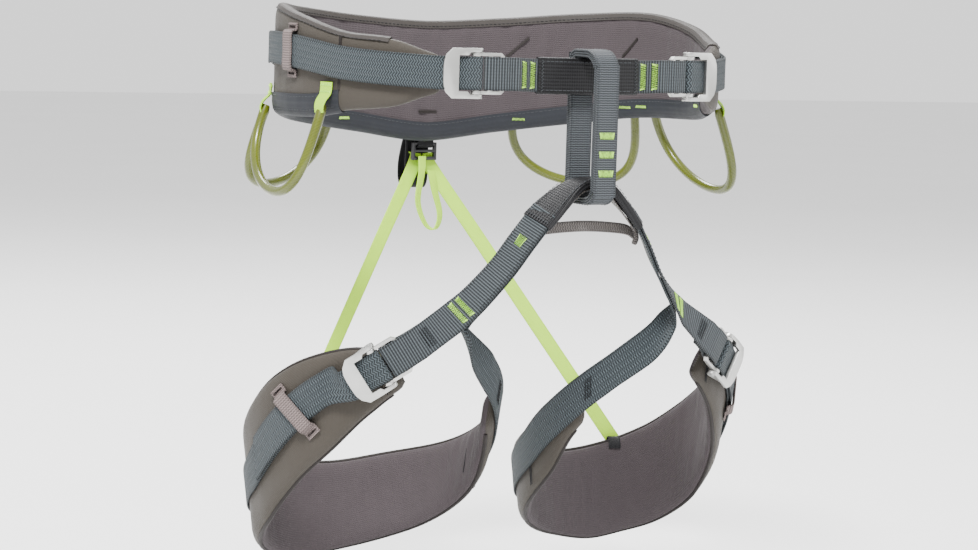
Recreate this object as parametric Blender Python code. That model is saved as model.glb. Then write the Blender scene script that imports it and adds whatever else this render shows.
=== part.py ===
"""Climbing harness: padded waist belt, two adjustable leg loops, belay loop, tie-in points,
four tilting buckles, four gear loops, rear elastic risers and a haul loop.

The origin is the centre of the waist opening at the height of the front strap. +Z is up,
the harness faces -Y, and +X is the wearer's left. Sizes are in millimetres and become metres
in build_mesh. Leg pieces are drawn for the wearer's left (+X) and reflected for the right.
"""

import math

import bmesh
import bpy
from mathutils import Vector

MM = 0.001
UP = Vector((0, 0, 1))

# Webbing
WEBBING_HALF = 10.5
WEBBING_THICK = 1.6
LAYER_STEP = 1.9

# Waist belt: the line through the middle of its pad, from the front centre to the back centre
BELT_OUTLINE = (
    (0, -103), (40, -103.5), (72, -101.5), (92, -95), (112, -81), (127, -63.5), (139, -40),
    (147, -14), (148.5, 12), (143, 38), (130, 61), (110, 80.5), (80, 94), (42, 102), (0, 104),
)
BELT_BACK = 104
PAD_TIP = 97
LINING = (-4.8, -3.8)
FOAM = (-3.5, 3.5)
SHELL = (3.8, 4.8)
WEBBING_OUT = 6.0
TAIL_OUT = 8.1
BELT_SPANS = 28
BINDING_SPAN = 3
BAND_SPAN = 6
WEBBING_SPAN = 2
TAIL_SPAN = 14
WAIST_BUCKLE_AT = 80
WAIST_KEEPER_AT = 209

# Heights at distances along the belt from its front centre
PAD_TOP = ((97, 16), (128, 24), (165, 27), (205, 36), (250, 43), (300, 41), (360, 36), (420, 33))
PAD_BOTTOM = ((97, -9), (128, -18), (163, -22), (190, -26), (257, -28), (303, -34), (358, -41), (420, -48))
WEBBING_HEIGHT = ((0, 4), (97, 5), (128, 6), (163, 8.5), (190, 12.5), (215, 15), (257, 15), (420, -6))

# Leg loops, each on an upright elliptical cylinder round the thigh
LEG_CENTRE = Vector((96.5, -8, 0))
LEG_LONG = 84
LEG_SHORT = 71
LEG_TURN = 35
LEG_CONE_TOP = -185
LEG_CONE = 0.0015
PAD_FRONT_END = -112
LEG_STEP = 6.25
LEG_SPANS = 48
LEG_PAD_TOP = (
    (-112, -187), (-104, -176), (-90, -172), (-69, -180), (-50, -194), (-32, -212), (-13, -230),
    (10, -248), (36, -260), (64, -264), (95, -257), (130, -245), (165, -224), (188, -204),
)
LEG_PAD_BOTTOM = (
    (-112, -198), (-97, -212), (-79, -237), (-64, -255), (-48, -275), (-32, -292), (-4, -311),
    (20, -320), (44, -325), (72, -320), (96, -312), (120, -300), (147, -280), (165, -262), (188, -229),
)
LEG_WEBBING_HEIGHT = (
    (-100, -183), (-81, -195), (-70, -206), (-57, -222), (-42, -242), (-28, -259), (-4, -276),
    (20, -287), (50, -293), (72, -292), (96, -284), (120, -272), (147, -252), (165, -232), (188, -206),
    (204, -189), (219, -174),
)
LEG_BUCKLE_AT = -99
LEG_BUCKLE_HEIGHT = -182
LEG_BUCKLE_SLOPE = 33
LEG_BUCKLE_LIFT = 3.2
LEG_BUCKLE_LEAN = 0.11
LEG_WEBBING_SPANS = (5, 51)
LEG_TAIL_SPAN = 12
LEG_KEEPER_AT = -63
RISER_AT = {1: 28, -1: 40}

# Two-piece buckle, along the strap (u), across it (w) and out of its plane (n)
PIN_U = 2.5
PIN_N = 7.05
PIN_RADIUS = 2.0
HOLE_RADIUS = 2.3
BOSS_RADIUS = 3.8
ROLL_RADIUS = 3.2
FRAME_HALF = 15.8
FRAME_INSIDE = 13.3
FRAME_WINDOW_HALF = 11.3
FRAME_END = -20
FRAME_BAR = 10
FRAME_PLATE = (9.7, 12.1)
LINK_HALF = 13.0
LINK_WINDOW_HALF = 11.0
LINK_END = 20.2
LINK_BARS = ((9.5, 12.7), (17.2, 20.2))
LINK_THICK = 3.0
LOOP_RADIUS = 3.3

# Tie-in points and belay loop
FRONT_SLEEVE_HALF = 37
SLEEVE_ROOM = 0.3
SLEEVE_WALL = 0.9
BELAY_HALF = 8.25
BELAY_THICK = 5
BELAY_FRONT = -134.5
BELAY_REAR = -103.2
BELAY_TOP = 19
BELAY_BOTTOM = -74.5

# Leg strap from the lower tie-in point to the leg buckle: a point, and the way its face looks
BIGHT_ROUTE = (
    ((0, -119, -62), (0, 0, 1)),
    ((12, -119, -64.5), (0.2, -0.12, 0.97)),
    ((25, -118, -75), (0.45, -0.3, 0.84)),
    ((38, -117, -87.8), (0.6, -0.44, 0.67)),
)
STRAP_ROUTE = (
    ((38, -117, -87.8), (0.6, -0.44, 0.67)),
    ((48, -114, -102), (0.62, -0.45, 0.64)),
    ((57, -110.5, -116), (0.64, -0.46, 0.62)),
    ((67, -106.5, -129), (0.63, -0.5, 0.58)),
    ((77, -103, -140.5), (0.6, -0.58, 0.5)),
    ((88, -99.5, -151), (0.54, -0.74, 0.3)),
)
# Where the strap's back layer peels off to the inner thigh: a point, and the way its width runs
THIGH_ROUTE = (
    ((82, -97.6, -150), (0.36, 0.69, 0.62)),
    ((79.6, -96.2, -156), (0.3, 0.62, 0.72)),
    ((74.3, -94, -163.3), (0.15, 0.45, 0.88)),
    ((66.5, -90.5, -172.5), (0.03, 0.2, 0.98)),
)
MOUTH_GAP = 2.5
BIGHT_HALF = 6.8

# Gear loops: distances of both ends along the belt, and how far the tube hangs
GEAR_LOOPS = {"front": (174, 250, 59), "rear": (264, 345, 53)}
GEAR_RAISE = 5
GEAR_SKEW = 0.4
GEAR_RADIUS = 3.2
GEAR_OUT = 9.6
GEAR_FLARE = 19

# Rear risers, their buckle and the haul loop
RISER_HALF = 5
RISER_THICK = 1.2
REAR_X = 6
REAR_BUCKLE_HALF = 9.5
REAR_BUCKLE_TOP = -50.5
REAR_BUCKLE_BOTTOM = -63
REAR_BUCKLE_OUT = (7.6, 10.8)
HAUL_HALF = 9

COLOURS = {
    "shell": ((0.14, 0.125, 0.10), 0.75, 0.0),
    "lining": ((0.11, 0.10, 0.11), 0.85, 0.0),
    "foam": ((0.20, 0.19, 0.18), 0.9, 0.0),
    "band": ((0.055, 0.06, 0.07), 0.8, 0.0),
    "webbing": ((0.12, 0.145, 0.16), 0.7, 0.0),
    "black": ((0.018, 0.018, 0.02), 0.6, 0.0),
    "grey": ((0.30, 0.28, 0.26), 0.8, 0.0),
    "keeper": ((0.32, 0.27, 0.26), 0.8, 0.0),
    "silver": ((0.66, 0.66, 0.65), 0.32, 1.0),
    "olive": ((0.26, 0.31, 0.02), 0.3, 0.0),
    "lime": ((0.60, 0.80, 0.16), 0.6, 0.0),
    "plastic": ((0.02, 0.02, 0.022), 0.4, 0.0),
}


# Meshes


def clear_scene():
    for thing in list(bpy.data.objects):
        bpy.data.objects.remove(thing, do_unlink=True)


def material(name):
    found = bpy.data.materials.get(name)
    if found:
        return found
    colour, roughness, metallic = COLOURS[name]
    made = bpy.data.materials.new(name)
    made.use_nodes = True
    shader = made.node_tree.nodes["Principled BSDF"]
    shader.inputs["Base Color"].default_value = (*colour, 1)
    shader.inputs["Roughness"].default_value = roughness
    shader.inputs["Metallic"].default_value = metallic
    return made


def build_mesh(name, points, faces, colour, side=1, origin=(0, 0, 0)):
    """One object from points in millimetres, reflected in X where side is -1."""
    origin = Vector(origin)
    shell = bmesh.new()
    corners = []
    for point in points:
        placed = Vector((point[0] * side, point[1], point[2])) - origin
        corners.append(shell.verts.new(placed * MM))
    for face in faces:
        shell.faces.new([corners[i] for i in face])
    bmesh.ops.recalc_face_normals(shell, faces=shell.faces)
    mesh = bpy.data.meshes.new(name)
    shell.to_mesh(mesh)
    shell.free()
    mesh.materials.append(material(colour))
    mesh.shade_smooth()
    mesh.set_sharp_from_angle(angle=math.radians(35))
    made = bpy.data.objects.new(name, mesh)
    made.location = origin * MM
    bpy.context.scene.collection.objects.link(made)
    return made


def loft(name, sections, colour, closed=False, side=1, origin=(0, 0, 0)):
    """A solid through sections with equal numbers of corners, capped at both ends unless closed."""
    size = len(sections[0])
    points = [corner for section in sections for corner in section]
    faces = []
    count = len(sections)
    for i in range(count if closed else count - 1):
        here = i * size
        there = (i + 1) % count * size
        for j in range(size):
            k = (j + 1) % size
            faces.append((here + j, here + k, there + k))
            faces.append((here + j, there + k, there + j))
    if not closed:
        faces.append(tuple(range(size)))
        faces.append(tuple(range((count - 1) * size, count * size)))
    return build_mesh(name, points, faces, colour, side, origin)


def hollow_loft(name, inner, outer, colour, side=1, origin=(0, 0, 0)):
    """An open-ended sleeve between matching inner and outer sections."""
    size = len(inner[0])
    count = len(inner)
    points = [corner for section in inner + outer for corner in section]
    faces = []
    for wall in (0, count * size):
        for i in range(count - 1):
            here = wall + i * size
            for j in range(size):
                k = (j + 1) % size
                faces.append((here + j, here + k, here + size + k))
                faces.append((here + j, here + size + k, here + size + j))
    for end in (0, (count - 1) * size):
        for j in range(size):
            k = (j + 1) % size
            faces.append((end + j, end + k, count * size + end + k, count * size + end + j))
    return build_mesh(name, points, faces, colour, side, origin)


def prism(name, outline, low, high, place, colour, side=1, origin=(0, 0, 0)):
    """An outline pushed from low to high; place turns (a, b, height) into a point."""
    sections = [[place(a, b, height) for a, b in outline] for height in (low, high)]
    return loft(name, sections, colour, side=side, origin=origin)


def carve(target, other, operation):
    """Cuts target with a helper solid that isn't part of the harness."""
    other.hide_render = True
    other.display_type = "WIRE"
    cut = target.modifiers.new(other.name, "BOOLEAN")
    cut.operation = operation
    cut.solver = "EXACT"
    cut.object = other


def hang(objects, pivot_name, pivot):
    """Parents objects to an empty on their joint's axis, leaving each where it is."""
    empty = bpy.data.objects.new(pivot_name, None)
    empty.location = Vector(pivot) * MM
    bpy.context.scene.collection.objects.link(empty)
    for part in objects:
        part.parent = empty
        part.location = part.location - empty.location


# Curves


def smooth_through(knots):
    """A smooth height over distance through (distance, height) knots, level at both ends and past them."""
    count = len(knots)
    slopes = []
    for i in range(count):
        before = knots[max(i - 1, 0)]
        after = knots[min(i + 1, count - 1)]
        slopes.append((after[1] - before[1]) / (after[0] - before[0]))
    slopes[0] = slopes[-1] = 0

    def height(distance):
        if distance <= knots[0][0]:
            return knots[0][1]
        for i in range(count - 1):
            (x0, y0), (x1, y1) = knots[i], knots[i + 1]
            if distance <= x1:
                span = x1 - x0
                t = (distance - x0) / span
                return (
                    (2 * t**3 - 3 * t**2 + 1) * y0
                    + (t**3 - 2 * t**2 + t) * span * slopes[i]
                    + (3 * t**2 - 2 * t**3) * y1
                    + (t**3 - t**2) * span * slopes[i + 1]
                )
        return knots[-1][1]

    return height


def spread(first, last, count):
    return [first + (last - first) * i / (count - 1) for i in range(count)]


def through(points, steps):
    """A Catmull-Rom curve through vectors of any length, with steps spans between neighbours."""
    ends = [2 * points[0] - points[1], *points, 2 * points[-1] - points[-2]]
    curve = []
    for a, b, c, d in zip(ends, ends[1:], ends[2:], ends[3:]):
        for i in range(steps):
            t = i / steps
            curve.append(
                0.5 * (2 * b + (c - a) * t + (2 * a - 5 * b + 4 * c - d) * t**2 + (3 * b - a - 3 * c + d) * t**3)
            )
    curve.append(points[-1].copy())
    return curve


def tangents(points, closed=False):
    count = len(points)
    found = []
    for i in range(count):
        if closed:
            ahead, behind = points[(i + 1) % count], points[i - 1]
        else:
            ahead, behind = points[min(i + 1, count - 1)], points[max(i - 1, 0)]
        found.append((ahead - behind).normalized())
    return found


def ribbon(name, path, thick, colour, closed=False, side=1, origin=(0, 0, 0)):
    """Flat webbing along a path of (centre, half-width vector)."""
    along = tangents([centre for centre, _ in path], closed)
    sections = []
    for (centre, half), way in zip(path, along):
        face = way.cross(half).normalized() * (thick / 2)
        sections.append([centre - half - face, centre - half + face, centre + half + face, centre + half - face])
    return loft(name, sections, colour, closed, side, origin)


def evenly_wide(stations, half_width):
    """Ribbon stations whose width is measured square to the path, whichever way they are cut."""
    path = []
    for (centre, across), way in zip(stations, tangents([centre for centre, _ in stations])):
        across = across.normalized()
        lean = across.dot(way)
        path.append((centre, across * (half_width / math.sqrt(1 - lean * lean))))
    return path


def tube(name, points, radius, colour, side=1, origin=(0, 0, 0), sides=8):
    """A round tube along points."""
    along = tangents(points)
    across = along[0].orthogonal().normalized()
    sections = []
    for centre, way in zip(points, along):
        across = (across - way * across.dot(way)).normalized()
        other = way.cross(across)
        ring = []
        for i in range(sides):
            turn = 2 * math.pi * i / sides
            ring.append(centre + across * (radius * math.cos(turn)) + other * (radius * math.sin(turn)))
        sections.append(ring)
    return loft(name, sections, colour, side=side, origin=origin)


def arc(centre_a, centre_b, radius, start, stop, steps):
    """Points of a circle in a plane, from start to stop in degrees."""
    points = []
    for angle in spread(start, stop, steps + 1):
        turn = math.radians(angle)
        points.append((centre_a + radius * math.cos(turn), centre_b + radius * math.sin(turn)))
    return points


# The belt's line


def belt_line():
    """Points of half the belt's line, from the front centre over +X to the back, and their distances."""
    points = through([Vector((x, y, 0)) for x, y in BELT_OUTLINE], 24)
    distances = [0.0]
    for before, after in zip(points, points[1:]):
        distances.append(distances[-1] + (after - before).length)
    return points, distances


BELT_POINTS, BELT_DISTANCES = belt_line()
BELT_HALF_LENGTH = BELT_DISTANCES[-1]
pad_top = smooth_through(PAD_TOP)
pad_bottom = smooth_through(PAD_BOTTOM)
webbing_height = smooth_through(WEBBING_HEIGHT)


def belt_at(distance):
    """(point, way along, way out) at a distance from the front centre; past the back it comes round."""
    side = 1
    if distance > BELT_HALF_LENGTH:
        distance = 2 * BELT_HALF_LENGTH - distance
        side = -1
    if distance < 0:
        distance = -distance
        side = -1
    last = len(BELT_POINTS) - 2
    low = min(int(distance / BELT_HALF_LENGTH * last), last)
    while low > 0 and BELT_DISTANCES[low] > distance:
        low -= 1
    while low < last and BELT_DISTANCES[low + 1] < distance:
        low += 1
    part = (distance - BELT_DISTANCES[low]) / (BELT_DISTANCES[low + 1] - BELT_DISTANCES[low])
    point = BELT_POINTS[low].lerp(BELT_POINTS[low + 1], part)
    near = max(low - 6, 0)
    far = min(low + 7, last + 1)
    way = (BELT_POINTS[far] - BELT_POINTS[near]).normalized()
    if distance < 1 or distance > BELT_HALF_LENGTH - 1:
        way = Vector((math.copysign(1, way.x), 0, 0))
    out = Vector((way.y, -way.x, 0))
    if side < 0:
        point = Vector((-point.x, point.y, 0))
        way = Vector((way.x, -way.y, 0))
        out = Vector((-out.x, out.y, 0))
    return point, way, out


def from_front(distance):
    """The distance along the belt to the nearer side of the front centre."""
    return min(abs(distance), abs(2 * BELT_HALF_LENGTH - distance))


def belt_point(distance, out_by, height):
    point, _, out = belt_at(distance)
    return point + out * out_by + UP * height


def belt_stops(first, last):
    """Distances along the belt; every layer uses the same ones, so that its facets match its neighbours'."""
    step = (BELT_HALF_LENGTH - PAD_TIP) / BELT_SPANS
    return [PAD_TIP + step * i for i in range(first, last + 1)]


def belt_slab(name, layer, low, high, colour):
    """A layer of the belt round the back between its two front ends."""
    sections = []
    for distance in belt_stops(0, 2 * BELT_SPANS):
        along = from_front(distance)
        sections.append(
            [
                belt_point(distance, layer[0], low(along)),
                belt_point(distance, layer[1], low(along)),
                belt_point(distance, layer[1], high(along)),
                belt_point(distance, layer[0], high(along)),
            ]
        )
    return loft(name, sections, colour)


def belt_edge(name, first, edge, turn, inside, outside, colour):
    """A folded strip over one edge of the pad; turn is 1 over the top edge and -1 under the bottom."""
    wall = 0.8
    near, far = LINING[0] - 0.3, SHELL[1] + 0.3
    sections = []
    for distance in belt_stops(first, 2 * BELT_SPANS - first):
        height = edge(from_front(distance))
        rim = height + turn * 0.3
        top = height + turn * (0.3 + wall)
        outline = (
            (near - wall, height - turn * inside),
            (near, height - turn * inside),
            (near, rim),
            (far, rim),
            (far, height - turn * outside),
            (far + wall, height - turn * outside),
            (far + wall, top),
            (near - wall, top),
        )
        sections.append([belt_point(distance, out_by, z) for out_by, z in outline])
    return loft(name, sections, colour)


# The leg's line

leg_pad_top = smooth_through(LEG_PAD_TOP)
leg_pad_bottom = smooth_through(LEG_PAD_BOTTOM)
leg_webbing_height = smooth_through(LEG_WEBBING_HEIGHT)


def leg_at(angle):
    """(reach from the leg's axis, way out) at an angle in degrees, at the height of the cone's top."""
    turn = math.radians(LEG_TURN)
    long_axis = Vector((math.cos(turn), math.sin(turn), 0))
    short_axis = Vector((-math.sin(turn), math.cos(turn), 0))
    c = math.cos(math.radians(angle))
    s = math.sin(math.radians(angle))
    reach = long_axis * (LEG_LONG * c) + short_axis * (LEG_SHORT * s)
    out = (long_axis * (c / LEG_LONG) + short_axis * (s / LEG_SHORT)).normalized()
    return reach, out


def leg_point(angle, out_by, height):
    reach, out = leg_at(angle)
    size = 1 + LEG_CONE * (height - LEG_CONE_TOP)
    return LEG_CENTRE + reach * size + out * out_by + UP * height


def leg_upright(angle):
    """The pad's surface leans in towards the knee; this runs straight up it."""
    reach, _ = leg_at(angle)
    return UP + reach * LEG_CONE


def leg_stops(first, last):
    return [PAD_FRONT_END + LEG_STEP * i for i in range(first, last + 1)]


def leg_slab(name, layer, colour, side, shrink=0.0):
    sections = []
    for angle in leg_stops(0, LEG_SPANS):
        low = leg_pad_bottom(angle) + shrink
        high = leg_pad_top(angle) - shrink
        sections.append(
            [
                leg_point(angle, layer[0], low),
                leg_point(angle, layer[1], low),
                leg_point(angle, layer[1], high),
                leg_point(angle, layer[0], high),
            ]
        )
    return loft(name, sections, colour, side=side)


def leg_webbing_path(first, last, out_by):
    """Webbing lying on the leg pad, its ends cut upright."""
    stations = []
    for angle in leg_stops(first, last):
        stations.append((leg_point(angle, out_by, leg_webbing_height(angle)), leg_upright(angle)))
    return evenly_wide(stations, WEBBING_HALF)


# Buckles


class BuckleSeat:
    """Where a buckle lies: along runs up the strap to the tie-in point, out faces away from the body."""

    def __init__(self, origin, along, out):
        self.origin = origin
        self.along = along.normalized()
        self.out = out.normalized()
        self.up = self.along.cross(self.out).normalized()
        if self.up.z < 0:
            self.up = -self.up

    def at(self, u, n, w=0.0):
        return self.origin + self.along * u + self.out * n + self.up * w

    def side_view(self, u, n, w):
        return self.at(u, n, w)

    def front_view(self, u, w, n):
        return self.at(u, n, w)

    def strip(self, points):
        """Webbing through (u, n) points, as wide as the webbing."""
        return [(self.at(u, n), self.up * WEBBING_HALF) for u, n in points]


def waist_seat():
    point, way, out = belt_at(WAIST_BUCKLE_AT)
    return BuckleSeat(point + UP * webbing_height(WAIST_BUCKLE_AT), -way, out)


def leg_seat():
    _, level_out = leg_at(LEG_BUCKLE_AT)
    level = level_out.cross(UP)
    out = (level_out - UP * LEG_BUCKLE_LEAN).normalized()
    slope = math.radians(LEG_BUCKLE_SLOPE)
    along = level * math.cos(slope) + level.cross(out) * math.sin(slope)
    origin = leg_point(LEG_BUCKLE_AT, LEG_BUCKLE_LIFT, LEG_BUCKLE_HEIGHT)
    return BuckleSeat(origin, along, out)


def pin_hole(name, seat, side, origin):
    outline = arc(PIN_U, PIN_N, HOLE_RADIUS, 0, 337.5, 15)
    reach = FRAME_HALF + 4
    return prism(name, outline, -reach, reach, seat.side_view, "black", side, origin)


def buckle_frame(name, seat, side):
    """The wide bar that tilts about the pin, with a cheek at each end of it."""
    pivot = seat.at(PIN_U, PIN_N)
    origin = (pivot.x * side, pivot.y, pivot.z)
    ends = PIN_U + BOSS_RADIUS + 1
    outer = []
    for w in spread(FRAME_HALF, -FRAME_HALF, 9):
        outer.append((FRAME_END + 6.0 * (abs(w) / FRAME_HALF) ** 4, w))
    outline = [(ends, FRAME_HALF), *outer, (ends, -FRAME_HALF)]
    outline += [(ends, -FRAME_INSIDE), (-2.5, -FRAME_INSIDE), (-4, -FRAME_WINDOW_HALF)]
    outline += [(FRAME_END + FRAME_BAR, -FRAME_WINDOW_HALF), (FRAME_END + FRAME_BAR, FRAME_WINDOW_HALF)]
    outline += [(-4, FRAME_WINDOW_HALF), (-2.5, FRAME_INSIDE), (ends, FRAME_INSIDE)]
    frame = prism(name, outline, 0, 15, seat.front_view, "silver", side, origin)
    low, high = FRAME_PLATE
    profile = [(FRAME_END - 1, low), (-6.5, low)]
    profile += arc(PIN_U, PIN_N, BOSS_RADIUS, 215, 450, 10)
    profile += [(-5, high), (FRAME_END - 1, high)]
    reach = FRAME_HALF + 1
    side_shape = prism(name + "_profile", profile, -reach, reach, seat.side_view, "black", side, origin)
    carve(frame, side_shape, "INTERSECT")
    carve(frame, pin_hole(name + "_hole", seat, side, origin), "DIFFERENCE")
    return frame


def buckle_link(name, seat, side):
    """The ring that the fixed strap loops round, with an ear on the pin at each end."""
    start = PIN_U - BOSS_RADIUS - 1
    outline = [(start, LINK_HALF), (start, -LINK_HALF), (LINK_END - 2, -LINK_HALF)]
    outline += [(LINK_END, -LINK_HALF + 2), (LINK_END, LINK_HALF - 2), (LINK_END - 2, LINK_HALF)]
    link = prism(name, outline, 0, 15, seat.front_view, "silver", side)
    half = LINK_THICK / 2
    profile = [(LINK_END + 1, PIN_N + half), (PIN_U + 3, PIN_N + half)]
    profile += arc(PIN_U, PIN_N, BOSS_RADIUS, 60, 300, 10)
    profile += [(PIN_U + 3, PIN_N - half), (LINK_END + 1, PIN_N - half)]
    reach = LINK_HALF + 1
    side_shape = prism(name + "_profile", profile, -reach, reach, seat.side_view, "black", side)
    carve(link, side_shape, "INTERSECT")
    windows = ((start - 2, LINK_BARS[0][0]), (LINK_BARS[0][1], LINK_BARS[1][0]))
    for i, (low, high) in enumerate(windows):
        hole = [(low, LINK_WINDOW_HALF), (low, -LINK_WINDOW_HALF), (high, -LINK_WINDOW_HALF), (high, LINK_WINDOW_HALF)]
        window = prism(f"{name}_window_{i}", hole, -2, 17, seat.front_view, "black", side)
        carve(link, window, "DIFFERENCE")
    carve(link, pin_hole(name + "_hole", seat, side, (0, 0, 0)), "DIFFERENCE")
    return link


def buckle_pin(name, seat, side):
    outline = arc(PIN_U, PIN_N, PIN_RADIUS, 0, 330, 11)
    return prism(name, outline, -FRAME_HALF, FRAME_HALF, seat.side_view, "silver", side)


def roll_points():
    """Adjusting webbing through the buckle: in under the wide bar, round the pin and out again."""
    points = [(-22, 6.0), (-14, 6.0), (-8, 5.5), (-3, 4.3)]
    points += arc(PIN_U, PIN_N, ROLL_RADIUS, -90, 90, 6)
    points += [(-3, 9.8), (-8, 8.6), (-14, 8.1), (-22, 8.1)]
    return points


def loop_points():
    """Fixed strap round the link's rear bar, from its outer layer to its inner one."""
    bar = (LINK_BARS[0][0] + LINK_BARS[0][1]) / 2
    points = [(30, 8.0), (25, 8.7), (20.5, 10.0), (16.5, 10.35)]
    points += arc(bar, PIN_N, LOOP_RADIUS, 90, 270, 6)
    points += [(16.5, 3.75), (20.5, 4.1), (25, 5.4), (30, 6.1)]
    return points


# Waist belt


def waist_pad():
    belt_slab("waist_foam", FOAM, pad_bottom, pad_top, "foam")
    belt_slab("waist_lining", LINING, pad_bottom, pad_top, "lining")
    belt_slab("waist_shell", SHELL, pad_bottom, pad_top, "shell")
    belt_edge("waist_top_binding", BINDING_SPAN, pad_top, 1, 3, 2, "black")
    belt_edge("waist_lower_band", BAND_SPAN, pad_bottom, -1, 11, 13, "band")


def reflected(points):
    return [Vector((-p.x, p.y, p.z)) for p in points]


def waist_webbing(seat):
    """One strap round the back, doubled back through both buckles to a tail on each side."""
    half = UP * WEBBING_HALF
    end = 2 * BELT_SPANS

    def laid(first, last, out_by):
        stations = []
        for distance in belt_stops(first, last):
            height = webbing_height(from_front(distance))
            stations.append((belt_point(distance, out_by, height), half))
        return stations

    roll = seat.strip(roll_points())
    roll_right = [(Vector((-c.x, c.y, c.z)), h) for c, h in roll]
    path = laid(WEBBING_SPAN, TAIL_SPAN, TAIL_OUT)[::-1]
    path += roll[::-1]
    path += laid(WEBBING_SPAN, end - WEBBING_SPAN, WEBBING_OUT)
    path += roll_right
    path += laid(end - TAIL_SPAN, end - WEBBING_SPAN, TAIL_OUT)[::-1]
    ribbon("waist_webbing", path, WEBBING_THICK, "webbing")


def front_strap(seat):
    """A closed loop of webbing between the two waist buckles."""
    half = UP * WEBBING_HALF
    loop = seat.strip(loop_points())
    loop_right = [(Vector((-c.x, c.y, c.z)), h) for c, h in loop]
    reach = WAIST_BUCKLE_AT - 38
    outer = []
    inner = []
    for distance in spread(-reach, reach, 9):
        height = webbing_height(abs(distance))
        outer.append((belt_point(distance, 8.0, height), half))
        inner.append((belt_point(-distance, 6.1, height), half))
    path = outer + loop + inner + loop_right[::-1]
    ribbon("front_strap", path, WEBBING_THICK, "webbing", closed=True)


def flat_ring(centre, half, face, width, thick, cut):
    """Eight corners of a flattened tube's section."""
    across = half.normalized()
    outline = (
        (-width, -thick + cut), (-width, thick - cut), (-width + cut, thick), (width - cut, thick),
        (width, thick - cut), (width, -thick + cut), (width - cut, -thick), (-width + cut, -thick),
    )
    return [centre + across * a + face * b for a, b in outline]


def sleeve(name, path, widths, thick, side=1):
    """A black sleeve round the webbing of a tie-in point."""
    along = tangents([centre for centre, _ in path])
    inner = []
    outer = []
    for (centre, half), way, width in zip(path, along, widths):
        face = way.cross(half).normalized()
        inner.append(flat_ring(centre, half, face, width, thick, 0.2))
        outer.append(flat_ring(centre, half, face, width + SLEEVE_WALL, thick + SLEEVE_WALL, 1.1))
    return hollow_loft(name, inner, outer, "black", side)


def front_sleeve():
    path = []
    for distance in spread(-FRONT_SLEEVE_HALF, FRONT_SLEEVE_HALF, 11):
        path.append((belt_point(distance, PIN_N, webbing_height(abs(distance))), UP))
    sleeve("front_tie_in_sleeve", path, [WEBBING_HALF + SLEEVE_ROOM] * len(path), 2.1)


def keeper_path(middle, across, out, reach, rise, drop):
    """An elastic bridge over a strap: sewn flat at both ends and lifted between them."""
    points = []
    for along, lift in ((-reach, drop), (-reach + 4.5, drop + 0.3), (-reach + 6, rise), (0, rise)):
        points.append(middle + across * along + out * lift)
    for along, lift in ((reach - 6, rise), (reach - 4.5, drop + 0.3), (reach, drop)):
        points.append(middle + across * along + out * lift)
    return points


def waist_keeper(name, side):
    point, way, out = belt_at(WAIST_KEEPER_AT)
    middle = point + UP * webbing_height(WAIST_KEEPER_AT)
    points = keeper_path(middle, UP, out, 17.5, 9.9, 5.9)
    ribbon(name, [(p, way * 5.5) for p in points], 1.2, "keeper", side=side)


def belay_loop():
    """A closed loop of doubled webbing through both tie-in points."""
    outline = []
    rear_top = (BELAY_REAR - 6, BELAY_TOP - 6, 6, 0)
    front_top = (BELAY_FRONT + 13, BELAY_TOP - 13, 13, 90)
    front_low = (BELAY_FRONT + 9, BELAY_BOTTOM + 9, 9, 180)
    rear_low = (BELAY_REAR - 9, BELAY_BOTTOM + 9, 9, 270)
    for y, z, radius, start in (rear_top, front_top, front_low, rear_low):
        outline += arc(y, z, radius, start, start + 90, 6)
    pivot = belay_pivot()
    path = [(Vector((0, y, z)), Vector((BELAY_HALF, 0, 0))) for y, z in outline]
    ribbon("belay_loop", path, BELAY_THICK, "webbing", closed=True, origin=pivot)


def belay_pivot():
    return belt_point(0, PIN_N, webbing_height(0))


# Leg loops


def route(knots, steps):
    """Points and faces of a strap: each item is (point, way its face looks)."""
    curve = through([Vector((*point, *face)) for point, face in knots], steps)
    return [(Vector(item[:3]), Vector(item[3:])) for item in curve]


def bight_knots():
    """The lower tie-in point's route from one side to the other."""
    left = [((-x, y, z), (-a, b, c)) for (x, y, z), (a, b, c) in BIGHT_ROUTE[:0:-1]]
    return [*left, *BIGHT_ROUTE]


def strap_stations(stations, sink, half_of):
    """Stations of a strap sunk below its route, its half-width upright at the buckle end."""
    along = tangents([point for point, _ in stations])
    path = []
    for (point, face), way in zip(stations, along):
        half = face.cross(way).normalized()
        true_face = way.cross(half).normalized()
        path.append((point - true_face * sink, half * half_of(point)))
    return path


def bight_half(point):
    """Webbing bunches where the belay loop holds it."""
    spread_out = min(max(abs(point.x) - 6, 0) / 22, 1)
    return BIGHT_HALF + (WEBBING_HALF - BIGHT_HALF) * spread_out


def full_half(point):
    return WEBBING_HALF


def lower_tie_in():
    stations = route(bight_knots(), 3)
    core = strap_stations(stations, LAYER_STEP / 2, bight_half)
    ribbon("lower_tie_in_webbing", core, WEBBING_THICK + LAYER_STEP, "webbing")
    widths = [half.length + SLEEVE_ROOM for _, half in core]
    sleeve("lower_tie_in_sleeve", core, widths, 2.1)
    lining = []
    for centre, half in strap_stations(stations, LAYER_STEP / 2 + 4.1, bight_half):
        lining.append((centre, half * 0.85))
    ribbon("lower_tie_in_lining", lining, 0.9, "grey")


def cross_strap():
    """The elastic that keeps the two leg straps from spreading."""
    sag = ((-39, -110, -97), (-30, -111.5, -93.5), (0, -112.5, -91.5), (30, -111.5, -93.5), (39, -110, -97))
    points = through([Vector(p) for p in sag], 3)
    width = Vector((0, 0.35, 0.94)) * 3.6
    ribbon("leg_cross_strap", [(p, width) for p in points], 1.4, "grey")


def trimmed(stations, gap):
    """The route without its first stretch, as long as gap."""
    start, face = stations[0]
    way = (stations[1][0] - start).normalized()
    return [(start + way * gap, face), *stations[1:]]


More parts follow.
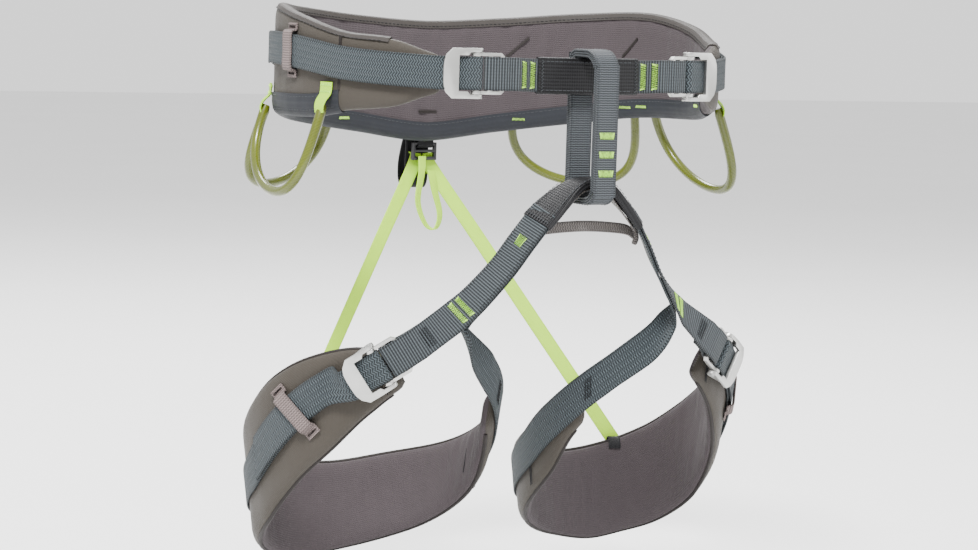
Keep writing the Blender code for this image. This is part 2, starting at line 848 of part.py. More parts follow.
def link_loop(last, seat):
    """The strap from its last station round the buckle's link to an end sewn behind itself."""
    loop = seat.strip(loop_points())
    first = loop[0]
    approach = []
    for part in (0.3, 0.5, 0.7, 0.86):
        approach.append((last[0].lerp(first[0], part), last[1].lerp(first[1], part)))
    way = (first[0] - last[0]).normalized()
    sewn = []
    for (centre, half), gap in zip(approach[:1:-1], (2.2, 2.5)):
        face = way.cross(half).normalized()
        behind = -gap if face.dot(seat.out) > 0 else gap
        sewn.append((centre + face * behind, half))
    return [*approach, *loop[:-1], *sewn]


def leg_strap(name, seat, side):
    """The front layer, from the lower tie-in point round the buckle's link and back to a sewn end."""
    stations = trimmed(route(STRAP_ROUTE, 3), MOUTH_GAP)
    path = strap_stations(stations, 0, full_half)
    return ribbon(name, [*path, *link_loop(path[-1], seat)], WEBBING_THICK, "webbing", side=side)


def leg_webbing(name, seat, side):
    """The back layer, which peels off round the thigh, then goes through the buckle to a tail."""
    stations = trimmed(route(STRAP_ROUTE, 3), MOUTH_GAP)
    path = strap_stations(stations, LAYER_STEP + 0.1, full_half)[:-4]
    first, last = LEG_WEBBING_SPANS
    ring = leg_webbing_path(first, last, WEBBING_OUT)[::-1]
    peel = [(Vector(point), Vector(across)) for point, across in THIGH_ROUTE]
    path += evenly_wide([*path[-1:], *peel, *ring[:1]], WEBBING_HALF)[1:-1]
    path += ring
    path += seat.strip(roll_points())
    path += leg_webbing_path(first, LEG_TAIL_SPAN, TAIL_OUT)
    return ribbon(name, path, WEBBING_THICK, "webbing", side=side)


def leg_keeper(name, side):
    ahead = leg_point(LEG_KEEPER_AT - 3, 0, leg_webbing_height(LEG_KEEPER_AT - 3))
    behind = leg_point(LEG_KEEPER_AT + 3, 0, leg_webbing_height(LEG_KEEPER_AT + 3))
    way = (ahead - behind).normalized()
    reach = 19
    level = math.hypot(way.x, way.y)
    points = []
    flat = ((-reach, 6.2), (-reach + 5, 6.4), (-reach + 7, 10), (-5, 10), (5, 10))
    flat += ((reach - 7, 10), (reach - 5, 6.4), (reach, 6.2))
    degrees_per_mm = 6 / ((ahead - behind) * level).length
    middle = leg_webbing_height(LEG_KEEPER_AT)
    for along, lift in flat:
        turn = LEG_KEEPER_AT + along * way.z * degrees_per_mm
        points.append(leg_point(turn, lift, middle + along * level))
    return ribbon(name, [(p, way * 5.5) for p in points], 1.2, "keeper", side=side)


def riser_tab(name, side):
    """A tab over the pad's top edge where the riser is sewn on."""
    sections = []
    for angle in spread(RISER_AT[side] - 4.5, RISER_AT[side] + 4.5, 4):
        height = leg_pad_top(angle)
        near, far = LINING[0] - 0.3, SHELL[1]
        outline = (
            (near - 0.8, height - 7), (near, height - 7), (near, height + 0.3),
            (far, height + 0.3), (far, height + 1.1), (near - 0.8, height + 1.1),
        )
        sections.append([leg_point(angle, out_by, z) for out_by, z in outline])
    return loft(name, sections, "black", side=side)


def riser(name, side):
    """Elastic from the rear buckle down to the outer face of the leg pad."""
    behind = Vector((0, 1, 0))
    top = Vector((5.5 + REAR_X * side, BELT_BACK + REAR_BUCKLE_OUT[1] + 1.3, REAR_BUCKLE_BOTTOM + 5))
    _, out = leg_at(RISER_AT[side])
    edge = leg_point(RISER_AT[side], 6.6, leg_pad_top(RISER_AT[side]))
    bend = top + Vector((1.2, -0.4, -9))
    way = (edge - bend).normalized()
    foot = edge + (way - out * way.dot(out)).normalized() * 12
    knots = [(top, behind), (bend, behind)]
    for part in (0.25, 0.5, 0.75):
        knots.append((bend.lerp(edge, part), behind.lerp(out, part)))
    knots += [(edge, out), (foot, out)]
    along = tangents([point for point, _ in knots])
    path = []
    for (point, face), direction in zip(knots, along):
        path.append((point, face.cross(direction).normalized() * RISER_HALF))
    return ribbon(name, path, RISER_THICK, "lime", side=side)


def leg_loop(word, side):
    """One leg loop with its buckle; it swings about the end of the lower tie-in point."""
    seat = leg_seat()
    parts = [
        leg_slab(f"leg_foam_{word}", FOAM, "foam", side, 0.4),
        leg_slab(f"leg_lining_{word}", LINING, "lining", side),
        leg_slab(f"leg_shell_{word}", SHELL, "shell", side),
        leg_webbing(f"leg_webbing_{word}", seat, side),
        leg_keeper(f"leg_keeper_{word}", side),
        buckle_link(f"leg_buckle_link_{word}", seat, side),
        buckle_pin(f"leg_buckle_pin_{word}", seat, side),
        riser_tab(f"riser_tab_{word}", side),
        leg_strap(f"leg_strap_{word}", seat, side),
    ]
    x, y, z = BIGHT_ROUTE[-1][0]
    hang(parts, f"leg_swing_{word}", (x * side, y, z))
    buckle_frame(f"leg_buckle_frame_{word}", seat, side)
    riser(f"riser_{word}", side)


# Gear loops, rear buckle and haul loop


def gear_anchor(distance):
    return belt_point(distance, GEAR_OUT, pad_bottom(distance) + GEAR_RAISE)


def gear_loop(name, first, last, hang_by, side):
    start = gear_anchor(first)
    stop = gear_anchor(last)
    middle = (start + stop) / 2
    chord = (stop - start) / 2
    flare = math.radians(GEAR_FLARE)
    out = Vector((chord.y, -chord.x, 0)).normalized()
    down = out * math.sin(flare) - UP * math.cos(flare)
    points = []
    for angle in spread(0, 180, 19):
        c = math.cos(math.radians(angle))
        s = max(math.sin(math.radians(angle)), 0)
        points.append(middle - chord * (c * (1 + 0.12 * s) + GEAR_SKEW * s * s) + down * (hang_by * s**0.85))
    origin = (middle.x * side, middle.y, middle.z)
    tube(name, points, GEAR_RADIUS, "olive", side, origin)


def gear_tab(name, distance, side):
    _, way, out = belt_at(distance)
    low = pad_bottom(distance) + GEAR_RAISE + 1.5
    path = []
    for height, out_by in ((low, 7.2), (low + 5, 7.0), (low + 10, 7.0)):
        path.append((belt_point(distance, out_by, height), way * 5))
    ribbon(name, path, 0.9, "lime", side=side)


def rear_buckle():
    """A ladder buckle under the belt's back, with two slots."""
    low, high = REAR_BUCKLE_OUT
    top, bottom = REAR_BUCKLE_TOP, REAR_BUCKLE_BOTTOM

    def place(x, z, out_by):
        return Vector((REAR_X + x, BELT_BACK + out_by, z))

    half = REAR_BUCKLE_HALF
    outline = [(-half, bottom), (half, bottom), (half, top), (-half, top)]
    body = prism("riser_buckle", outline, low, high, place, "plastic")
    for i, (slot_low, slot_high) in enumerate(((bottom + 2.5, bottom + 5.5), (top - 5, top - 2))):
        slot = [(-half + 2.2, slot_low), (half - 2.2, slot_low), (half - 2.2, slot_high), (-half + 2.2, slot_high)]
        carve(body, prism(f"riser_buckle_slot_{i}", slot, low - 2, high + 2, place, "black"), "DIFFERENCE")


def rear_tape():
    """Black tape sewn to the lower band and looped through the buckle's upper slot."""
    centre = BELT_BACK
    top = REAR_BUCKLE_TOP - 1
    low, high = REAR_BUCKLE_OUT
    middle = (low + high) / 2
    bar = (high - low) / 2 + 0.9
    points = [(centre + 6.8, -36), (centre + 6.8, -46)]
    points += [(centre + middle + bar * math.cos(math.radians(a)), top + bar * math.sin(math.radians(a)))
               for a in (180, 210, 240, 270, 300, 330, 360)]
    points += [(centre + middle + bar, top + 3), (centre + middle + bar - 1.6, top + 12)]
    path = [(Vector((REAR_X, y, z)), Vector((6, 0, 0))) for y, z in points]
    ribbon("riser_anchor_tape", path, 0.9, "black")


def riser_tail():
    """The slack elastic that hangs from the rear buckle as a loop."""
    y = BELT_BACK + REAR_BUCKLE_OUT[0] - 1.6
    knots = ((-3, 0, -60), (-3, 0, -72), (-5, 0.5, -92), (2, 1, -108), (10, 1.5, -111), (13, 1, -101), (8, 0.5, -84), (4.5, 0, -70))
    points = through([Vector((x + REAR_X, y + b, z)) for x, b, z in knots], 3)
    path = []
    for i, point in enumerate(points):
        turn = math.radians(35 * math.sin(math.pi * i / (len(points) - 1)))
        path.append((point, Vector((math.cos(turn), math.sin(turn), 0)) * 3.0))
    ribbon("riser_tail_loop", path, 1.0, "lime")


def haul_pivot():
    return Vector((REAR_X - 3, BELT_BACK + 14.5, -40))


def haul_loop():
    """Webbing loop that hangs behind the rear buckle."""
    pivot = haul_pivot()
    knots = ((0, -1), (4.5, -10), (9.5, -24), (9.5, -36), (4.5, -42), (0, -37), (0, -25), (-0.5, -12))
    points = through([pivot + Vector((0, b, z)) for b, z in (*knots, knots[0])], 3)[:-1]
    path = [(point, Vector((HAUL_HALF, 0, 0))) for point in points]
    ribbon("haul_loop", path, 1.6, "black", closed=True, origin=pivot)


def build():
    clear_scene()
    seat = waist_seat()
    waist_pad()
    waist_webbing(seat)
    front_strap(seat)
    front_sleeve()
    belay_loop()
    lower_tie_in()
    cross_strap()
    rear_buckle()
    rear_tape()
    riser_tail()
    haul_loop()
    for word, side in (("left", 1), ("right", -1)):
        buckle_frame(f"waist_buckle_frame_{word}", seat, side)
        buckle_link(f"waist_buckle_link_{word}", seat, side)
        buckle_pin(f"waist_buckle_pin_{word}", seat, side)
        waist_keeper(f"waist_keeper_{word}", side)
        leg_loop(word, side)
        for place, (first, last, hang_by) in GEAR_LOOPS.items():
            gear_loop(f"gear_loop_{place}_{word}", first, last, hang_by, side)
            gear_tab(f"gear_tab_{place}_{word}_1", first, side)
            gear_tab(f"gear_tab_{place}_{word}_2", last, side)


build()
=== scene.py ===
"""Looks for the climbing harness: woven webbing, crowned pads, stitching, polished buckles and tubes.

The pieces follow the same lines as the CAD part and are drawn in its frame, in millimetres until
they become meshes. +X is the wearer's left. Most pieces ride on their CAD bodies; the straps and
risers that cross a joint, and the gear tabs, are baked in place on no body and do not bend.
"""

import math

import bmesh
import bpy
from mathutils import Matrix, Vector, noise


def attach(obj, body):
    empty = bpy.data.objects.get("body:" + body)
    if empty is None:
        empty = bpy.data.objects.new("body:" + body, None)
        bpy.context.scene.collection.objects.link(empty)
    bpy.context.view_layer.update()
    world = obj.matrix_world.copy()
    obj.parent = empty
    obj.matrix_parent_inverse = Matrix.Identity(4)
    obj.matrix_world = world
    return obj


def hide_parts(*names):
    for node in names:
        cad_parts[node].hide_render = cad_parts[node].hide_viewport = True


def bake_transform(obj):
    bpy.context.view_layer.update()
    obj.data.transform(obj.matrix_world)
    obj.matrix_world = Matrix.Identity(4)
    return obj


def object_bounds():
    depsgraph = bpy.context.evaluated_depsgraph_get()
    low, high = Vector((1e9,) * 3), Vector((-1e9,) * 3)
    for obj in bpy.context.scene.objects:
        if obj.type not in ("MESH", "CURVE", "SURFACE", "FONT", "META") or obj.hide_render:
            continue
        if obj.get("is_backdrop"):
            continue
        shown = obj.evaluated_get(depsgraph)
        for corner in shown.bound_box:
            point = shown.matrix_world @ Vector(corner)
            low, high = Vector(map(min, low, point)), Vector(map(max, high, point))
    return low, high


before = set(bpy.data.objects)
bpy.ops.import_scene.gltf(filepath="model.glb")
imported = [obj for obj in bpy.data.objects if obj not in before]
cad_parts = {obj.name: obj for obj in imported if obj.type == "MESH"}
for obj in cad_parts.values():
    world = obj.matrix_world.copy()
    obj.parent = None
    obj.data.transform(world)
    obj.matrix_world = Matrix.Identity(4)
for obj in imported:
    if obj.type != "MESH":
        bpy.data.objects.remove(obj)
CAD_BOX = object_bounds()

MM = 0.001
UP = Vector((0, 0, 1))
SIDES = (("left", 1), ("right", -1))

# Camera, floor and light; the floor's height and the lights are in metres and watts
VIEW_AZIMUTH = -30
VIEW_ELEVATION = 5
VIEW_ROLL = 1.8
VIEW_DISTANCE = 2200
VIEW_TARGET = Vector((-8.5, -8.4, -132.3))
VIEW_LENS = 121.5
FLOOR_HEIGHT = -0.36
FLOOR_REACH = 9
FLOOR_THICK = 0.05
WORLD_POWER = 1.4
LIGHTS = {
    "key": ((-1.2, -1.3, 2.0), 0.8, 210),
    "fill": ((1.9, -1.3, 0.6), 1.6, 22),
    "rim": ((0.5, 1.6, 1.9), 1.2, 110),
}
LIGHT_TARGET = Vector((0, 0, -0.13))

# Webbing
WEBBING_HALF = 10.5
WEBBING_THICK = 1.6
LAYER_STEP = 1.9

# Waist belt: the line through the middle of its pad, from the front centre to the back centre
BELT_OUTLINE = (
    (0, -103), (40, -103.5), (72, -101.5), (92, -95), (112, -81), (127, -63.5), (139, -40),
    (147, -14), (148.5, 12), (143, 38), (130, 61), (110, 80.5), (80, 94), (42, 102), (0, 104),
)
BELT_BACK = 104
PAD_TIP = 97
LINING = (-4.8, -3.8)
SHELL = (3.8, 4.8)
WEBBING_OUT = 6.0
TAIL_OUT = 8.1
BELT_SPANS = 28
BINDING_SPAN = 3
BAND_SPAN = 6
WEBBING_SPAN = 2
TAIL_SPAN = 14
WAIST_BUCKLE_AT = 80
WAIST_KEEPER_AT = 209

# Heights at distances along the belt from its front centre
PAD_TOP = ((97, 16), (128, 24), (165, 27), (205, 36), (250, 43), (300, 41), (360, 36), (420, 33))
PAD_BOTTOM = (
    (97, -9), (128, -18), (163, -22), (190, -26), (257, -28), (303, -34), (358, -41), (420, -48),
)
WEBBING_HEIGHT = (
    (0, 4), (97, 5), (128, 6), (163, 8.5), (190, 12.5), (215, 15), (257, 15), (420, -6),
)
SEAM_AT = 166
# Bars of stitching on the lining: side, then both ends as distance round from the back and height
LINING_BARS = (
    (1, (60, 10), (77, 24)),
    (-1, (60, 10), (77, 24)),
    (1, (148, 13), (160, 26)),
    (-1, (148, 13), (160, 26)),
    (1, (-7, -28.5), (7, -28.5)),
)

# Leg loops, each on an upright elliptical cylinder round the thigh
LEG_CENTRE = Vector((96.5, -8, 0))
LEG_LONG = 84
LEG_SHORT = 71
LEG_TURN = 35
LEG_CONE_TOP = -185
LEG_CONE = 0.0015
PAD_FRONT_END = -112
LEG_STEP = 6.25
LEG_SPANS = 48
LEG_PAD_TOP = (
    (-112, -187), (-104, -176), (-90, -172), (-69, -180), (-50, -194), (-32, -212), (-13, -230),
    (10, -248), (36, -260), (64, -264), (95, -257), (130, -245), (165, -224), (188, -204),
)
LEG_PAD_BOTTOM = (
    (-112, -198), (-97, -212), (-79, -237), (-64, -255), (-48, -275), (-32, -292), (-4, -311),
    (20, -320), (44, -325), (72, -320), (96, -312), (120, -300), (147, -280), (165, -262), (188, -229),
)
LEG_WEBBING_HEIGHT = (
    (-100, -183), (-81, -195), (-70, -206), (-57, -222), (-42, -242), (-28, -259), (-4, -276),
    (20, -287), (50, -293), (72, -292), (96, -284), (120, -272), (147, -252), (165, -232), (188, -206),
    (204, -189), (219, -174),
)
LEG_BUCKLE_AT = -99
LEG_BUCKLE_HEIGHT = -182
LEG_BUCKLE_SLOPE = 33
LEG_BUCKLE_LIFT = 3.2
LEG_BUCKLE_LEAN = 0.11
LEG_WEBBING_SPANS = (5, 51)
LEG_TAIL_SPAN = 12
LEG_KEEPER_AT = -63
RISER_AT = {1: 28, -1: 40}

# Two-piece buckle, along the strap (u) and out of its plane (n)
PIN_U = 2.5
PIN_N = 7.05
ROLL_RADIUS = 3.2
LINK_BAR = (9.5, 12.7)
LINK_REACH = 38
LOOP_RADIUS = 3.3

# Tie-in points and belay loop
FRONT_SLEEVE_HALF = 37
BELAY_HALF = 8.25
BELAY_LAYER = 1.6
BELAY_FRONT = -134.5
BELAY_REAR = -103.2
BELAY_TOP = 19
BELAY_BOTTOM = -74.5

# Leg strap from the lower tie-in point to the leg buckle: a point, and the way its face looks
BIGHT_ROUTE = (
    ((0, -119, -62), (0, 0, 1)),
    ((12, -119, -64.5), (0.2, -0.12, 0.97)),
    ((25, -118, -75), (0.45, -0.3, 0.84)),
    ((38, -117, -87.8), (0.6, -0.44, 0.67)),
)
STRAP_ROUTE = (
    ((38, -117, -87.8), (0.6, -0.44, 0.67)),
    ((48, -114, -102), (0.62, -0.45, 0.64)),
    ((57, -110.5, -116), (0.64, -0.46, 0.62)),
    ((67, -106.5, -129), (0.63, -0.5, 0.58)),
    ((77, -103, -140.5), (0.6, -0.58, 0.5)),
    ((88, -99.5, -151), (0.54, -0.74, 0.3)),
)
# Where the strap's back layer peels off to the inner thigh: a point, and the way its width runs
THIGH_ROUTE = (
    ((82, -97.6, -150), (0.36, 0.69, 0.62)),
    ((79.6, -96.2, -156), (0.3, 0.62, 0.72)),
    ((74.3, -94, -163.3), (0.15, 0.45, 0.88)),
    ((66.5, -90.5, -172.5), (0.03, 0.2, 0.98)),
)
MOUTH_GAP = 2.5
KEEPER_HALF = 5.5
BIGHT_HALF = 6.8

# Radii of sewing thread
FINE_THREAD = 0.22
TACK_THREAD = 0.3

# Gear loops: distances of both ends along the belt, and how far the tube hangs
GEAR_LOOPS = {"front": (174, 250, 59), "rear": (264, 345, 53)}
GEAR_RAISE = 5
GEAR_SKEW = 0.4
GEAR_RADIUS = 3.2
GEAR_OUT = 9.6
GEAR_FLARE = 19
# A gear loop's tab, from its fold under the tube up to its sewn end: rise, way out and half-width
GEAR_TAB = (
    (-5, 13.2, 3.6), (-1, 13.4, 3.9), (3, 11.6, 4.4), (6.5, 8.2, 4.8), (10, 7.2, 5), (14.5, 7.0, 5),
)

# Rear risers, their buckle and the haul loop
RISER_HALF = 5
RISER_THICK = 1.2
# The tab a riser is sewn to, over the pad's rim from the lining: out from the pad, down from the rim
RISER_TAB = (
    (LINING[0] - 0.6, 5.5), (LINING[0] - 0.5, 3), (-1.8, -1.4), (2.2, -1.6), (5.3, -0.6), (5.6, 1.5),
)
REAR_X = 6
REAR_BUCKLE_TOP = -50.5
REAR_BUCKLE_BOTTOM = -63
REAR_BUCKLE_OUT = (7.6, 10.8)
# The tail's loop: sideways and back from the rear buckle, and height
RISER_TAIL = (
    (-3, 0, -60), (-3, 0, -72), (-5, 0.5, -92), (2, 1, -108),
    (10, 1.5, -111), (13, 1, -101), (8, 0.5, -84), (4.5, 0, -70),
)
HAUL_HALF = 9
# The haul loop's outline: back and up from its pivot
HAUL_LOOP = ((0, -1), (4.5, -10), (9.5, -24), (9.5, -36), (4.5, -42), (0, -37), (0, -25), (-0.5, -12))
HAUL_PIVOT = Vector((REAR_X - 3, BELT_BACK + 14.5, -40))


# Curves


def smooth_through(knots):
    """A smooth height over distance through (distance, height) knots, level at and past both ends."""
    count = len(knots)
    slopes = []
    for i in range(count):
        before = knots[max(i - 1, 0)]
        after = knots[min(i + 1, count - 1)]
        slopes.append((after[1] - before[1]) / (after[0] - before[0]))
    slopes[0] = slopes[-1] = 0

    def height(distance):
        if distance <= knots[0][0]:
            return knots[0][1]
        for i in range(count - 1):
            (x0, y0), (x1, y1) = knots[i], knots[i + 1]
            if distance <= x1:
                span = x1 - x0
                t = (distance - x0) / span
                return (
                    (2 * t**3 - 3 * t**2 + 1) * y0
                    + (t**3 - 2 * t**2 + t) * span * slopes[i]
                    + (3 * t**2 - 2 * t**3) * y1
                    + (t**3 - t**2) * span * slopes[i + 1]
                )
        return knots[-1][1]

    return height


def spread(first, last, count):
    return [first + (last - first) * i / (count - 1) for i in range(count)]


def through(points, steps):
    """A Catmull-Rom curve through vectors of any length, with steps spans between neighbours."""
    ends = [2 * points[0] - points[1], *points, 2 * points[-1] - points[-2]]
    curve = []
    for a, b, c, d in zip(ends, ends[1:], ends[2:], ends[3:]):
        for i in range(steps):
            t = i / steps
            square = (2 * a - 5 * b + 4 * c - d) * t**2
            cube = (3 * b - a - 3 * c + d) * t**3
            curve.append(0.5 * (2 * b + (c - a) * t + square + cube))
    curve.append(points[-1].copy())
    return curve


def tangents(points, closed=False):
    count = len(points)
    found = []
    for i in range(count):
        if closed:
            ahead, behind = points[(i + 1) % count], points[i - 1]
        else:
            ahead, behind = points[min(i + 1, count - 1)], points[max(i - 1, 0)]
        found.append((ahead - behind).normalized())
    return found


def evenly_wide(stations, half_width):
    """Ribbon stations whose width is measured square to the path, whichever way they are cut."""
    path = []
    for (centre, across), way in zip(stations, tangents([centre for centre, _ in stations])):
        across = across.normalized()
        lean = across.dot(way)
        path.append((centre, across * (half_width / math.sqrt(1 - lean * lean))))
    return path


def arc(centre_a, centre_b, radius, start, stop, steps):
    """Points of a circle in a plane, from start to stop in degrees."""
    points = []
    for angle in spread(start, stop, steps + 1):
        turn = math.radians(angle)
        points.append((centre_a + radius * math.cos(turn), centre_b + radius * math.sin(turn)))
    return points


# The belt's line


def belt_line():
    """Half the belt's line, from the front centre over +X to the back: its points and distances."""
    points = through([Vector((x, y, 0)) for x, y in BELT_OUTLINE], 24)
    distances = [0.0]
    for before, after in zip(points, points[1:]):
        distances.append(distances[-1] + (after - before).length)
    return points, distances


BELT_POINTS, BELT_DISTANCES = belt_line()
BELT_HALF_LENGTH = BELT_DISTANCES[-1]
pad_top = smooth_through(PAD_TOP)
pad_bottom = smooth_through(PAD_BOTTOM)
webbing_height = smooth_through(WEBBING_HEIGHT)


def belt_at(distance):
    """(point, way along, way out) at a distance from the front centre; past the back it comes round."""
    side = 1
    if distance > BELT_HALF_LENGTH:
        distance = 2 * BELT_HALF_LENGTH - distance
        side = -1
    if distance < 0:
        distance = -distance
        side = -1
    last = len(BELT_POINTS) - 2
    low = min(int(distance / BELT_HALF_LENGTH * last), last)
    while low > 0 and BELT_DISTANCES[low] > distance:
        low -= 1
    while low < last and BELT_DISTANCES[low + 1] < distance:
        low += 1
    part = (distance - BELT_DISTANCES[low]) / (BELT_DISTANCES[low + 1] - BELT_DISTANCES[low])
    point = BELT_POINTS[low].lerp(BELT_POINTS[low + 1], part)
    near = max(low - 6, 0)
    far = min(low + 7, last + 1)
    way = (BELT_POINTS[far] - BELT_POINTS[near]).normalized()
    if distance < 1 or distance > BELT_HALF_LENGTH - 1:
        way = Vector((math.copysign(1, way.x), 0, 0))
    out = Vector((way.y, -way.x, 0))
    if side < 0:
        point = Vector((-point.x, point.y, 0))
        way = Vector((way.x, -way.y, 0))
        out = Vector((-out.x, out.y, 0))
    return point, way, out


def from_front(distance):
    """The distance along the belt to the nearer side of the front centre."""
    return min(abs(distance), abs(2 * BELT_HALF_LENGTH - distance))


def belt_point(distance, out_by, height):
    point, _, out = belt_at(distance)
    return point + out * out_by + UP * height


def belt_stops(first, last):
    """Distances along the belt that the CAD solids use, counted in spans from the pad's tip."""
    step = (BELT_HALF_LENGTH - PAD_TIP) / BELT_SPANS
    return [PAD_TIP + step * i for i in range(first, last + 1)]


# The leg's line

leg_pad_top = smooth_through(LEG_PAD_TOP)
leg_pad_bottom = smooth_through(LEG_PAD_BOTTOM)
leg_webbing_height = smooth_through(LEG_WEBBING_HEIGHT)


def leg_at(angle):
    """(reach from the leg's axis, way out) at an angle in degrees, at the height of the cone's top."""
    turn = math.radians(LEG_TURN)
    long_axis = Vector((math.cos(turn), math.sin(turn), 0))
    short_axis = Vector((-math.sin(turn), math.cos(turn), 0))
    c = math.cos(math.radians(angle))
    s = math.sin(math.radians(angle))
    reach = long_axis * (LEG_LONG * c) + short_axis * (LEG_SHORT * s)
    out = (long_axis * (c / LEG_LONG) + short_axis * (s / LEG_SHORT)).normalized()
    return reach, out


def leg_point(angle, out_by, height):
    reach, out = leg_at(angle)
    size = 1 + LEG_CONE * (height - LEG_CONE_TOP)
    return LEG_CENTRE + reach * size + out * out_by + UP * height


def leg_upright(angle):
    """The pad's surface leans in towards the knee; this runs straight up it."""
    reach, _ = leg_at(angle)
    return UP + reach * LEG_CONE


def leg_stops(first, last):
    return [PAD_FRONT_END + LEG_STEP * i for i in range(first, last + 1)]


def leg_webbing_path(first, last, out_by):
    """Webbing lying on the leg pad, its ends cut upright."""
    stations = []
    for angle in leg_stops(first, last):
        stations.append((leg_point(angle, out_by, leg_webbing_height(angle)), leg_upright(angle)))
    return evenly_wide(stations, WEBBING_HALF)


# Buckles


class BuckleSeat:
    """Where a buckle lies: along runs up the strap to the tie-in point, out faces the viewer."""

    def __init__(self, origin, along, out):
        self.origin = origin
        self.along = along.normalized()
        self.out = out.normalized()
        self.up = self.along.cross(self.out).normalized()
        if self.up.z < 0:
            self.up = -self.up

    def at(self, u, n):
        return self.origin + self.along * u + self.out * n

    def strip(self, points):
        """Webbing through (u, n) points, as wide as the webbing."""
        return [(self.at(u, n), self.up * WEBBING_HALF) for u, n in points]


def waist_seat():
    point, way, out = belt_at(WAIST_BUCKLE_AT)
    return BuckleSeat(point + UP * webbing_height(WAIST_BUCKLE_AT), -way, out)


def leg_seat():
    _, level_out = leg_at(LEG_BUCKLE_AT)
    level = level_out.cross(UP)
    out = (level_out - UP * LEG_BUCKLE_LEAN).normalized()
    slope = math.radians(LEG_BUCKLE_SLOPE)
    along = level * math.cos(slope) + level.cross(out) * math.sin(slope)
    origin = leg_point(LEG_BUCKLE_AT, LEG_BUCKLE_LIFT, LEG_BUCKLE_HEIGHT)
    return BuckleSeat(origin, along, out)


def roll_points():
    """Adjusting webbing through the buckle: in under the wide bar, round the pin and out again."""
    points = [(-22, 6.0), (-14, 6.0), (-8, 5.5), (-3, 4.3)]
    points += arc(PIN_U, PIN_N, ROLL_RADIUS, -90, 90, 6)
    points += [(-3, 9.8), (-8, 8.6), (-14, 8.1), (-22, 8.1)]
    return points


def loop_points():
    """Fixed strap round the link's rear bar, from its outer layer to its inner one."""
    bar = (LINK_BAR[0] + LINK_BAR[1]) / 2
    points = [(30, 8.0), (25, 8.7), (20.5, 10.0), (16.5, 10.35)]
    points += arc(bar, PIN_N, LOOP_RADIUS, 90, 270, 6)
    points += [(16.5, 3.75), (20.5, 4.1), (25, 5.4), (30, 6.1)]
    return points


def keeper_path(middle, across, out, reach, rise, drop):
    """An elastic bridge over a strap: sewn flat at both ends and lifted between them."""
    flat = ((-reach, drop), (-reach + 4.5, drop + 0.3), (-reach + 6, rise), (0, rise))
    flat += ((reach - 6, rise), (reach - 4.5, drop + 0.3), (reach, drop))
    return [middle + across * along + out * lift for along, lift in flat]


def route(knots, steps):
    """Points and faces of a strap: each item is (point, way its face looks)."""
    curve = through([Vector((*point, *face)) for point, face in knots], steps)
    return [(Vector(item[:3]), Vector(item[3:])) for item in curve]


def bight_knots():
    """The lower tie-in point's route from one side to the other."""
    left = [((-x, y, z), (-a, b, c)) for (x, y, z), (a, b, c) in BIGHT_ROUTE[:0:-1]]
    return [*left, *BIGHT_ROUTE]


def strap_stations(stations, sink, half_of):
    """Stations of a strap sunk below its route, its half-width upright at the buckle end."""
    along = tangents([point for point, _ in stations])
    path = []
    for (point, face), way in zip(stations, along):
        half = face.cross(way).normalized()
        true_face = way.cross(half).normalized()
        path.append((point - true_face * sink, half * half_of(point)))
    return path


def bight_half(point):
    """Webbing bunches where the belay loop holds it."""
    spread_out = min(max(abs(point.x) - 6, 0) / 22, 1)
    return BIGHT_HALF + (WEBBING_HALF - BIGHT_HALF) * spread_out


def full_half(_):
    return WEBBING_HALF


def trimmed(stations, gap):
    """The route without its first stretch, as long as gap."""
    start, face = stations[0]
    way = (stations[1][0] - start).normalized()
    return [(start + way * gap, face), *stations[1:]]


def link_loop(last, seat):
    """The strap from its last station round the buckle's link to an end sewn behind itself."""
    loop = seat.strip(loop_points())
    first = loop[0]
    approach = []
    for part in (0.3, 0.5, 0.7, 0.86):
        approach.append((last[0].lerp(first[0], part), last[1].lerp(first[1], part)))
    way = (first[0] - last[0]).normalized()
    sewn = []
    for (centre, half), gap in zip(approach[:1:-1], (2.2, 2.5)):
        face = way.cross(half).normalized()
        behind = -gap if face.dot(seat.out) > 0 else gap
        sewn.append((centre + face * behind, half))
    return [*approach, *loop[:-1], *sewn]


def gear_anchor(distance):
    return belt_point(distance, GEAR_OUT, pad_bottom(distance) + GEAR_RAISE)


# Camera, floor and light


def add_camera():
    azimuth = math.radians(VIEW_AZIMUTH)
    elevation = math.radians(VIEW_ELEVATION)
    roll = math.radians(VIEW_ROLL)
    level = Vector((math.cos(azimuth), math.sin(azimuth), 0))
    back = Vector((level.y * math.cos(elevation), -level.x * math.cos(elevation), math.sin(elevation)))
    upright = back.cross(level)
    right = level * math.cos(roll) + upright * math.sin(roll)
    top = upright * math.cos(roll) - level * math.sin(roll)
    data = bpy.data.cameras.new("camera")
    data.lens = VIEW_LENS
    data.sensor_width = 36
    camera = bpy.data.objects.new("camera", data)
    turn = Matrix((right, top, back)).transposed().to_4x4()
    camera.matrix_world = Matrix.Translation((VIEW_TARGET + back * VIEW_DISTANCE) * MM) @ turn
    bpy.context.scene.collection.objects.link(camera)
    bpy.context.scene.camera = camera


